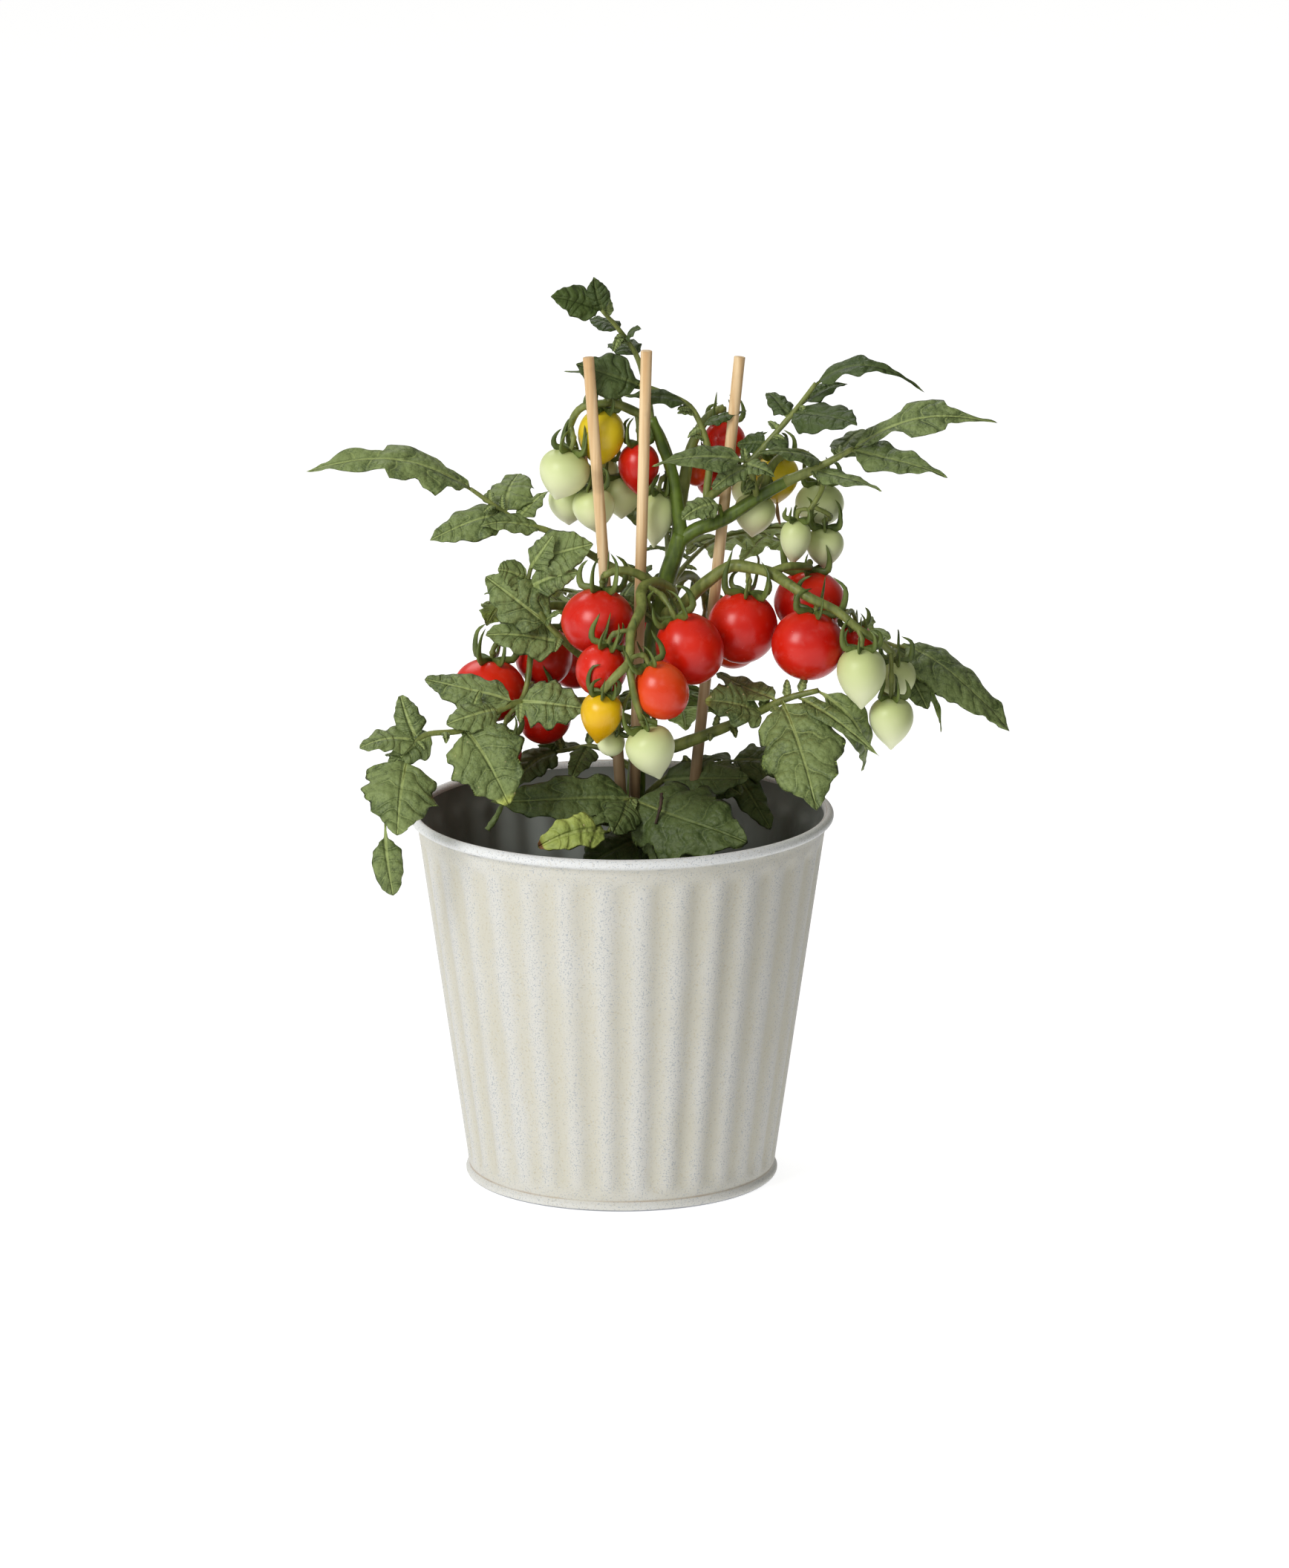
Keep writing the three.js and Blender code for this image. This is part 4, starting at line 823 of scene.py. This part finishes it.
def addBlade(piece, base, plan, draw, ageAndShade):
    outline, tip, width, arch, face, *turned = plan
    base, tip, facing = Vector(base), Vector(tip), Vector(face).normalized()
    length = (tip - base).length
    columns, half = leaf["columns"], leaf["halfRows"]
    control = base.lerp(tip, 0.46) + facing * 2 * arch
    bow = (tip - base).cross(facing).normalized() * draw.uniform(-leaf["bow"], leaf["bow"]) * length
    seed = draw.uniform(0, 50)
    waves, fold, curl = [draw.uniform(*leaf[name]) for name in ("waves", "fold", "curl")]
    twist = draw.uniform(-leaf["twist"], leaf["twist"])
    teeth = draw.uniform(*leaf["teeth"])

    def middle(part):
        sway = facing * 0.02 * length * sin(5 * part + seed)
        return arched(base, control, tip, part) + bow * sin(pi * part) + sway

    def place(column, row):
        part = column / columns
        centre = middle(part)
        if column in (0, columns):
            return centre, {"rib": 0, "vein": 0, "edge": 0, "ageAndShade": ageAndShade}
        upper = row <= 2 * half
        d = row / half - 1 if upper else 3 - row / half
        d = copysign(abs(d) ** 0.85, d)
        ahead = (middle(part + 0.01) - middle(part - 0.01)).normalized()
        across = Matrix.Rotation(twist * (part - 0.35), 3, ahead) @ ahead.cross(facing).normalized()
        reach, forward = outlineAt(outline, part)
        scallop = abs(sin(pi * teeth * part + seed + (d > 0)))
        jag = 0.98 + leaf["toothDepth"] * scallop + leaf["edgeNoise"] * noise.noise((part * 4, seed, d > 0))
        out = d * reach * width / 2 * jag
        spread = abs(out) / (width / 2)
        warp = noise.noise((out * 0.16, part * 4, seed))
        vein = leaf["laterals"] * (part - 0.5 * abs(out) / length) + 0.8 * warp + 0.25 * (d > 0)
        blister = sin(pi * vein) ** 2 * (1 - d**4) * min(1, abs(out) / 1.5)
        high = width * ((fold * spread - curl * spread**2) / 2 + leaf["blister"] * blister)
        wave = sin(fullTurn * waves * part + seed + (d > 0) * 2)
        high += leaf["edgeWave"] * width * abs(d) ** 3 * wave
        high += min(1.2, 0.05 * width) * noise.noise((centre + across * out) * 0.2) * abs(d)
        high += leaf["thickness"] / 2 * (1 - d**6) * (1 if upper else -1)
        spot = centre + across * out + ahead * forward * 0.3 * length * abs(d) + across.cross(ahead) * high
        tipAgeAndShade = ageAndShade + (0.8 if ageAndShade > 0.25 else 0.2) * blendTo(part, 0.86, 1.0)
        return spot, {"rib": abs(out) / between(0.9, 0.22, part), "vein": vein, "edge": abs(d), "ageAndShade": tipAgeAndShade}

    sides = (underSide, topSide) if turned else (topSide, underSide)
    piece.bend(columns, 4 * half, place, *sides)
    rib = Route([middle(step * 0.15) - facing * 0.3 for step in range(7)], 4)
    thick = 0.35 + 0.012 * width
    ribAgeAndShade = {"ageAndShade": min(ageAndShade, 0.8)}
    piece.tube(rib, lambda part, turn: between(thick, 0.12, part), 6, 14, olive, values=ribAgeAndShade)


def addFrond(piece, base, plan, draw, ageAndShade):
    # a far leaf: a curved stalk with pairs of leaflets and one at its end
    _, tip, width, arch, face = plan
    tip, facing = Vector(tip), Vector(face).normalized()
    control = base.lerp(tip, 0.5) + facing * 2 * arch
    middle = Route([arched(base, control, tip, part) for part in (0, 0.2, 0.4, 0.6, 0.78)])
    piece.tube(middle, stalkGirth(1.1, 0.6), 8, 20, olive)
    for part, reach, outline in frondPairs:
        start, ahead = middle.at(part), middle.heading(part)
        across = ahead.cross(facing).normalized()
        for hand in (-1, 1):
            size = width / 2 * reach * draw.uniform(0.85, 1.1)
            end = start + across * hand * size + ahead * size * draw.uniform(0.25, 0.5) - facing * size * 0.25
            addBlade(piece, start, (outline, end, size * 0.66, size * 0.08, face), draw, ageAndShade)
    addBlade(piece, middle.at(1), ("broad", tip, width * 0.36, 3, face), draw, ageAndShade)


def makeLeaves():
    draw = random.Random(7)
    for name, stalks in leafPlans.items():
        piece = Piece("foliage_" + name.replace("leaf_", ""), topSide, leafNumbers)
        for points, leaflets in stalks:
            route = Route(points)
            girth = stalkGirth(*girths.get(name, (1.95 if route.length > 70 else 1.5, 0.8)))
            piece.tube(route, girth, 10, max(8, round(route.length / 2.5)), olive)
            piece.hairs(route, girth, round(route.length * leaf["hairsPerMm"]), stem["hairLength"], draw)
            for _ in range(round(route.length / leaf["extraEvery"])):  # tiny leaflets along the stalk
                part = draw.uniform(0.3, 0.97)
                ahead = route.heading(part)
                side = ahead.cross(Vector(tilted)).normalized() * draw.choice((-1, 1))
                reach = draw.uniform(5, 9)
                end = route.at(part) + (side + ahead * draw.uniform(0, 0.6)) * reach
                end.z += draw.uniform(-2, 3)
                addBlade(piece, route.at(part), ("plain", end, reach * 0.55, 1, tilted), draw, 0.1)
            for part, *plan in leaflets:
                if plan[0] == "frond":
                    addFrond(piece, route.at(part), plan, draw, draw.uniform(0, 0.2))
                else:
                    own = leafTones.get(name, 0) + draw.uniform(-0.05, 0.15)
                    addBlade(piece, route.at(part), plan, draw, ages.get(plan[1], own))
        if name in stubs:
            points, radii, sides, steps, finish, values = stubs[name]
            piece.tube(Route(points), stalkGirth(*radii), sides, steps, finish, values=values)
        piece.done("leaf_green", name)
    print("leaves done")


# Main stem: a smooth bright trunk that forks below the top, and a few leaflets on it

stemPlans = [
    (((3, 9, 70), (4, 8.5, 112), (7, 6, 176), (13, 4, 222), (17, 3, 240), (22, 3, 256), (24, 3, 262)),
     (4.2, 3.4)),
    (((24, 3, 260), (22.5, 4, 272), (20, 6, 287), (16, 8, 297), (12, 8, 308)), (2.9, 1.9)),
    (((23, 3, 259), (30, 2, 264), (40, 1, 268), (55, 0, 278), (67, -1, 285)), (3, 2.3)),
]
sideStalk = ((40, 1, 268), (39.6, -2, 272), (39, -4, 275))
trunkLeaflets = [  # base, plan, and age-and-shade tone
    ((39, -4, 275), ("plain", (24, -13, 271), 13, 3, tilted), 0.1),
    ((15, 2, 234), ("oval", (2, -2, 251), 8, 2, steep), -0.4),
    ((14, 2, 226), ("plain", (-2, 2, 237), 9, 2, steep), -0.4),
]


def makeStem():
    draw = random.Random(3)
    piece = Piece("trunk", bright)
    for points, radii in stemPlans:
        addStalk(piece, points, radii, draw, stem["hairsPerMm"] * 0.8, 18)
    piece.tube(Route(sideStalk), stalkGirth(1, 0.8), 8, 8)
    leaflets = Piece("trunk_leaflet", topSide, leafNumbers)
    for base, plan, ageAndShade in trunkLeaflets:
        addBlade(leaflets, base, plan, draw, ageAndShade)
    piece.done("green_stem", "main_stem")
    leaflets.done("leaf_green", "main_stem")
    print("stem done")


# Trusses: downy stalks with side stalks, a knuckle on each, and sepals curling up off every fruit

# each stalk's points and its radii at both ends
trussPlans = {
    "truss_front": [
        (((17, 3, 238), (20, -4, 240), (13, -14, 246), (8, -24, 245), (8, -34, 240), (4, -44, 233),
          (3, -54, 223), (-1, -57, 219), (-5, -58, 215), (-7, -56, 212)), (2.2, 1.3)),
        (((12, -15, 246), (6, -20, 251), (-1, -23, 253), (-7, -24, 251)), (1.6, 1.2)),
        (((3, -54, 223), (5, -58, 211), (8, -54, 200)), (1.3, 1.1)),
    ],
    "truss_right": [
        (((15, 4, 229), (22, -1, 232), (32, -7, 243), (44, -11, 252), (50, -13, 252), (59, -14, 250),
          (66, -21, 247), (74, -27, 243), (85, -29, 238), (94, -32, 231), (102, -27, 225),
          (108, -20, 218)), (2.4, 1.2)),
        (((59, -14, 250), (66, -12, 252), (72, -7, 251), (75, 0, 249)), (1.5, 1.2)),
    ],
    "truss_left": [
        (((8, 6, 192), (0, 16, 212), (-12, 22, 224), (-28, 20, 229), (-42, 14, 223),
          (-50, 12, 215)), (2, 1.3)),
        (((-34, 18, 227), (-36, 4, 214), (-38, -3, 200), (-41, -3, 193)), (1.1, 0.9)),
    ],
    "truss_upper_left": [
        (((22, 3, 256), (23, 13, 269), (20, 16, 284), (17, 16, 295), (12, 14, 305), (3, 11, 311),
          (-6, 9, 315)), (2.4, 1.4)),
        (((-4, 9, 314), (-16, 8, 312), (-21, 13, 300), (-19, 14, 291)), (1.4, 1)),
        (((23, 13, 269), (25, 15, 280), (27, 17, 291), (31, 20, 301), (36, 22, 307),
          (41, 23, 309)), (2.2, 1.3)),
        (((13, 15, 303), (8, 21, 295), (2, 23, 289)), (1.2, 1)),
    ],
    "truss_upper_right": [
        (((56, 0, 278), (61, 9, 290), (70, 14, 293), (79, 11, 288), (80, 2, 281),
          (75, -2, 273)), (1.6, 0.8)),
        (((76, -1, 274), (83, 1, 270), (83, 7, 267)), (0.8, 0.7)),
    ],
    "truss_back": [
        (((14, 5, 228), (20, 22, 238), (28, 38, 237), (33, 48, 228), (34, 54, 220)), (2, 1.2)),
    ],
}
# tone, middle, width and height, axis, start of its side stalk on the truss, and how pointed it is; a joined
# fruit is one solid with its truss
fruitPlans = {
    "truss_front": {
        "front_1": ("red", (-9, -23, 232), (29.4, 26.7), (0.1, 0.1, 1), (-7, -24, 251), 0),
        "front_2": ("red", (-8, -42, 217), (20.2, 21.4), (0.3, -0.1, 1), (4, -43, 233), 0),
        "front_3": ("orange", (16, -52, 211), (21.1, 23.8), (-0.5, 0, 1), (3, -54, 224), 0),
        "front_4": ("red", (27, -31, 223), (26.7, 29.4), (-0.45, -0.1, 1), (9, -19, 246), 0),
        "front_5": ("yellow", (-8, -52, 200), (16.6, 20.5), (0.15, -0.15, 1), (-7, -56, 213), 1),
        "front_6": ("pale", (-4, -40, 187), (11, 11), (0.4, -0.3, 1), (5, -57, 213), 0, "joined"),
        "front_7": ("pale", (12, -52, 186), (19.6, 21.1), (-0.3, 0, 1), (8, -54, 201), 1),
    },
    "truss_right": {
        "right_1": ("red", (48, -10, 227), (27.9, 29.4), (0.15, -0.05, 1), (50, -13, 252), 0),
        "right_2": ("red", (75, 4, 234), (28.6, 25.6), (0, 0, 1), (75, 0, 249), 0),
        "right_3": ("red", (74, -24, 223), (29.1, 28.2), (0.2, -0.05, 1), (75, -27, 243), 0),
        "right_4": ("pale", (95, -34, 212), (19.6, 23.8), (0, 0, 1), (93, -32, 232), 1),
        "right_5": ("pale", (109, -10, 205), (16.6, 17.6), (0, -0.2, 1), (108, -20, 218), 1, "joined"),
        "right_6": ("pale", (107, -27, 192), (17.8, 20.5), (0, 0, 1), (107, -22, 219), 1),
        "right_7": ("red", (93, -6, 220), (14.9, 14.9), (0, -0.3, 1), (88, -30, 236), 0),
    },
    "truss_left": {
        "left_1": ("red", (-53, 12, 196), (29.7, 25.6), (0.1, 0, 1), (-50, 12, 215), 0),
        "left_2": ("red", (-31, 24, 207), (23.2, 24.4), (0, 0, 1), (-28, 20, 229), 0),
        "left_3": ("red", (-19, 45, 199), (20.8, 20.2), (0.2, -0.2, 1), (-12, 22, 224), 0),
        "left_4": ("red", (-50, 2, 173), (20.2, 19.6), (0.3, -0.2, 1), (-41, -3, 193), 0),
        "left_5": ("red", (-31, 14, 184), (21.4, 20.8), (-0.3, -0.3, 1), (-38, -3, 200), 0),
    },
    "truss_upper_left": {
        "upper_left_1": ("lemon", (-8, 9, 300), (18.7, 22.6), (0.1, 0, 1), (-6, 9, 315), 0.5),
        "upper_left_2": ("red", (7, 10, 287), (16.4, 20.8), (0, 0, 1), (6, 12, 309), 0.7),
        "upper_left_3": ("pale", (-23, 4, 286), (20.5, 20.2), (0.3, 0, 1), (-20, 11, 304), 0.8),
        "upper_left_4": ("pale", (-21, 22, 270), (16.4, 16.6), (0, -0.1, 1), (-19, 14, 291), 0.8, "joined"),
        "upper_left_5": ("pale", (-11, 7, 271), (17, 17.2), (-0.1, 0.1, 1), (-19, 14, 292), 0.8),
        "upper_left_6": ("pale", (0, 21, 273), (16, 16.6), (0, 0, 1), (2, 23, 289), 0.8, "joined"),
        "upper_left_7": ("pale", (14, 8, 267), (13.4, 22), (0.1, 0, 1), (20, 16, 284), 1),
        "top_1": ("red", (41, 24, 295), (17.2, 17.2), (0, 0, 1), (41, 23, 309), 0),
        "top_2": ("orange", (30, 25, 282), (10.1, 10.7), (0.1, -0.2, 1), (27, 17, 289), 0),
        "top_3": ("red", (37, 38, 276), (14.3, 13.1), (0, -0.3, 1), (28, 17, 294), 0),
    },
    "truss_upper_right": {
        "upper_right_1": ("lemon", (62, 23, 280), (17.6, 19.9), (0, -0.1, 1), (66, 13, 293), 0.8),
        "upper_right_2": ("pale", (50, 36, 272), (12, 12.6), (0.2, -0.2, 1), (64, 12, 293), 0.5, "joined"),
        "upper_right_3": ("pale", (53, 11, 268), (16.6, 17.2), (0.1, -0.05, 1), (60, 6, 288), 0.9),
        "upper_right_4": ("pale", (79, 21, 270), (19.6, 17.8), (0, -0.1, 1), (77, 12, 290), 0.2),
        "upper_right_5": ("pale", (69, -2, 260), (12.4, 17.6), (0.1, 0, 1), (75, -2, 273), 1),
        "upper_right_6": ("pale", (81, 9, 255), (15.2, 16.2), (0, 0, 1), (83, 7, 267), 0.9),
    },
    "truss_back": {
        "back_1": ("red", (19, 51, 212), (24, 23), (0.2, -0.1, 1), (28, 39, 237), 0),
        "back_2": ("orange", (45, 46, 208), (22, 22), (-0.2, 0, 1), (32, 46, 231), 0),
        "back_3": ("pale", (33, 62, 201), (14, 16), (0, -0.2, 1), (34, 54, 221), 1, "joined"),
    },
}
hiddenFruit = ("pale", (-7, 24, 282), (12, 12.6), (0.1, 0, 1), (-2, 22, 292), 0.5, "joined")
blossoms = {
    "truss_upper_left": [((-14.4, 4, 295.7), (-14, 3.6, 291), (-13.2, 4, 286.8))],
    "truss_upper_right": [((62.2, 22, 270.7), (62.4, 21.6, 266), (63.4, 22, 261.6)),
                          ((81.1, 11, 265.3), (80, 10.8, 261), (79.4, 11, 258.1))],
}
calyx = {"stalk": 0.72, "stalkPerWidth": 0.012, "knuckle": 0.42, "knuckleAt": 0.52, "collar": 0.5,
         "hairLength": 1, "sepals": (5, 5, 6), "reach": 2.2, "reachPerWidth": 0.26, "breadth": 1.3,
         "clear": 1.1}


def clearOfFruit(spot, own):
    # moves a spot out of every fruit but its own
    for plan in [plan for fruits in fruitPlans.values() for plan in fruits.values()]:
        width, height = plan[2]
        offset = spot - Vector(plan[1])
        depth = Vector((offset.x / width, offset.y / width, offset.z / height)).length * 2
        if plan is not own and depth < calyx["clear"]:
            spot = Vector(plan[1]) + offset * (calyx["clear"] / depth)
    return spot


def addCalyx(piece, plan, draw):
    _, middle, (width, height), axis, start, *_ = plan
    start, axis = Vector(start), Vector(axis).normalized()
    crown = Vector(middle) + axis * height * fruit["dimple"]
    above = crown + axis * min(5, height / 4)
    bend = start.lerp(above, 0.6)
    bend.z += 0.12 * (start - above).length
    route = Route([start, bend, above, crown + axis * 0.1])
    thick = calyx["stalk"] + calyx["stalkPerWidth"] * width

    def girth(part, turn):
        knuckle = calyx["knuckle"] * exp(-((part - calyx["knuckleAt"]) / 0.07) ** 2)
        rough = 1 + 0.07 * noise.noise((part * 12, cos(turn), start.x))
        return (thick + knuckle + calyx["collar"] * blendTo(part, 0.82, 1)) * rough

    piece.tube(route, girth, 10, 18)
    piece.hairs(route, girth, round(route.length * stem["hairsPerMm"] * 1.5), calyx["hairLength"], draw)
    across = axis.orthogonal().normalized()
    count = draw.choice(calyx["sepals"])
    turn = draw.random() * fullTurn

    def sepalGirth(part, turn):
        return (calyx["breadth"] + 0.03 * width) * (1 - part) ** 0.55 * (0.7 + 0.9 * part * (1 - part))

    for sepal in range(count):
        angle = turn + fullTurn * (sepal + draw.uniform(-0.15, 0.15)) / count
        out = Matrix.Rotation(angle, 3, axis) @ across
        wide = axis.cross(out)
        long = (calyx["reach"] + calyx["reachPerWidth"] * width) * draw.uniform(0.85, 1.2)
        twist = wide * draw.uniform(-0.12, 0.12) * long
        up = draw.uniform(0.9, 1.5) * long
        curl = draw.uniform(0.3, 0.95)
        profile = [(0.3, 0.5), (0.45 * long, 0.5 + 0.03 * height), (0.85 * long, 0.6 + 0.12 * long),
                   (long, 0.5 * up), (0.92 * long, 0.92 * up), (curl * long, 1.18 * up)]
        points = [crown + out * x + axis * z + twist * (x / long) ** 2 for x, z in profile]
        route = Route([clearOfFruit(point, plan) for point in points], 6)
        piece.tube(route, sepalGirth, 8, 12, sepalGreen, 0.5, wide)


# Fruit: spun skins, round to heart-shaped, dimpled under the calyx

fruit = {"steps": 48, "rows": 26, "sweep": 166, "dimple": 0.44, "nipple": 0.05, "dent": 0.01, "lobes": 0.012,
         "shoulders": 0.02, "gloss": 0.27, "paleGloss": 0.39, "dust": (255, 236, 226)}
fruitTones = {  # light, dark and slot; on ripe skins the light tone is painted on the top and the dark one underneath as painted shade
    "red": ((220, 40, 16), (184, 14, 4), "red_skin"),
    "orange": ((234, 86, 24), (206, 48, 16), "orange_skin"),
    "yellow": ((234, 194, 18), (212, 160, 8), "yellow_skin"),
    "lemon": ((232, 208, 44), (208, 178, 26), "yellow_skin"),
    "pale": ((236, 240, 200), (190, 201, 134), "unripe_skin"),
}


def addFruit(piece, plan, seed):
    _, middle, (width, height), axis, _, point, *_ = plan
    profile = []
    for row in range(fruit["rows"] + 1):
        angle = radians(-90 + fruit["sweep"] * row / fruit["rows"])
        sharp = point if angle < 0 else 0
        level = max(0.0, cos(angle))
        out = width / 2 * level ** (1 + 0.5 * sharp)
        nipple = fruit["nipple"] * sharp * height * exp(-((out / (0.08 * width)) ** 2))
        profile.append((out, (sin(angle) / 2 + 0.11 * point * level * level) * height - nipple))
    profile += [(width * 0.06, height * 0.462), (0, height * fruit["dimple"])]
    piece.spin(profile, fruit["steps"])
    turned = upright.rotation_difference(Vector(axis)).to_matrix()
    for vert in piece.bm.verts:
        turn = atan2(vert.co.y, vert.co.x)
        rise = vert.co.z / height * 2
        lump = 1 + fruit["dent"] * noise.noise(vert.co * 0.12 + Vector((seed, 0, 0)))
        lump += fruit["lobes"] * sin(3 * turn + seed)
        lump += fruit["shoulders"] * cos(5 * turn + seed) * blendTo(rise, 0.4, 0.95)
        vert.co.x *= lump
        vert.co.y *= lump
        piece.carry(vert, {"rise": rise})
        vert.co = (turned @ vert.co + Vector(middle)) * mm
    for face in piece.bm.faces:
        face.smooth = True


def skinFinish(tone):
    light, dark, _ = fruitTones[tone]
    finish = Finish(tone + " skin", {"Specular IOR Level": 0.38})
    rise = finish.number("rise")
    cloud = finish.noise(50, 2) - 0.5
    # On ripe skins the top is painted lighter and the underside darker, painted shade; unripe skins are
    # lighter towards the bottom; random patches on both.
    slope, patches, low = (-0.5, 0.6, -0.5) if tone == "pale" else (0.35, 1.2, -0.4)
    blend = (rise * slope + cloud * patches).ease(low, 0.6)
    streak = finish.noise(300, 2).ease(0.5, 0.9, 0, 0.04)
    streaked = finish.mix(streak, finish.mix(blend, dark, light), fruit["dust"])
    fine = finish.cells(420).ease(0.03, 0.07, 0.5 if tone == "red" else 0.15, 0)
    finish.colour(fine * finish.noise(160, 1).ease(0.6, 0.66), streaked, fruit["dust"])
    soft = fruit["paleGloss" if tone == "pale" else "gloss"]
    finish.roughness(finish.noise(120, 1), soft, soft + 0.05)
    return finish


def makeTrusses():
    draw = random.Random(19)
    skins = {tone: skinFinish(tone) for tone in fruitTones}
    for name, stalks in trussPlans.items():
        piece = Piece("stalks_" + name[6:], olive)
        for points, radii in stalks:
            radii = [radius * stem["trussGirth"] for radius in radii]
            addStalk(piece, points, radii, draw, stem["hairsPerMm"])
        fruits = {"fruit_" + own: plan for own, plan in fruitPlans[name].items()}
        if name == "truss_upper_left":
            fruits["hidden"] = hiddenFruit
        for own, plan in fruits.items():
            addCalyx(piece, plan, draw)
            skin = Piece(own, skins[plan[0]], ("rise",))
            addFruit(skin, plan, 1 + 9 * draw.random())
            skin.done(fruitTones[plan[0]][2], name if "joined" in plan else own.replace("fruit", "tomato"))
        for points in blossoms.get(name, []):
            piece.tube(Route(points), lambda part, turn: 0.3 + 0.5 * sin(pi * part), 6, 10, dry)
        piece.done("green_stem", name)
    print("trusses and fruit done")


makeCamera()
makeStudio()
makePot()
makeSoil()
makeCanes()
makeStem()
makeLeaves()
makeTrusses()
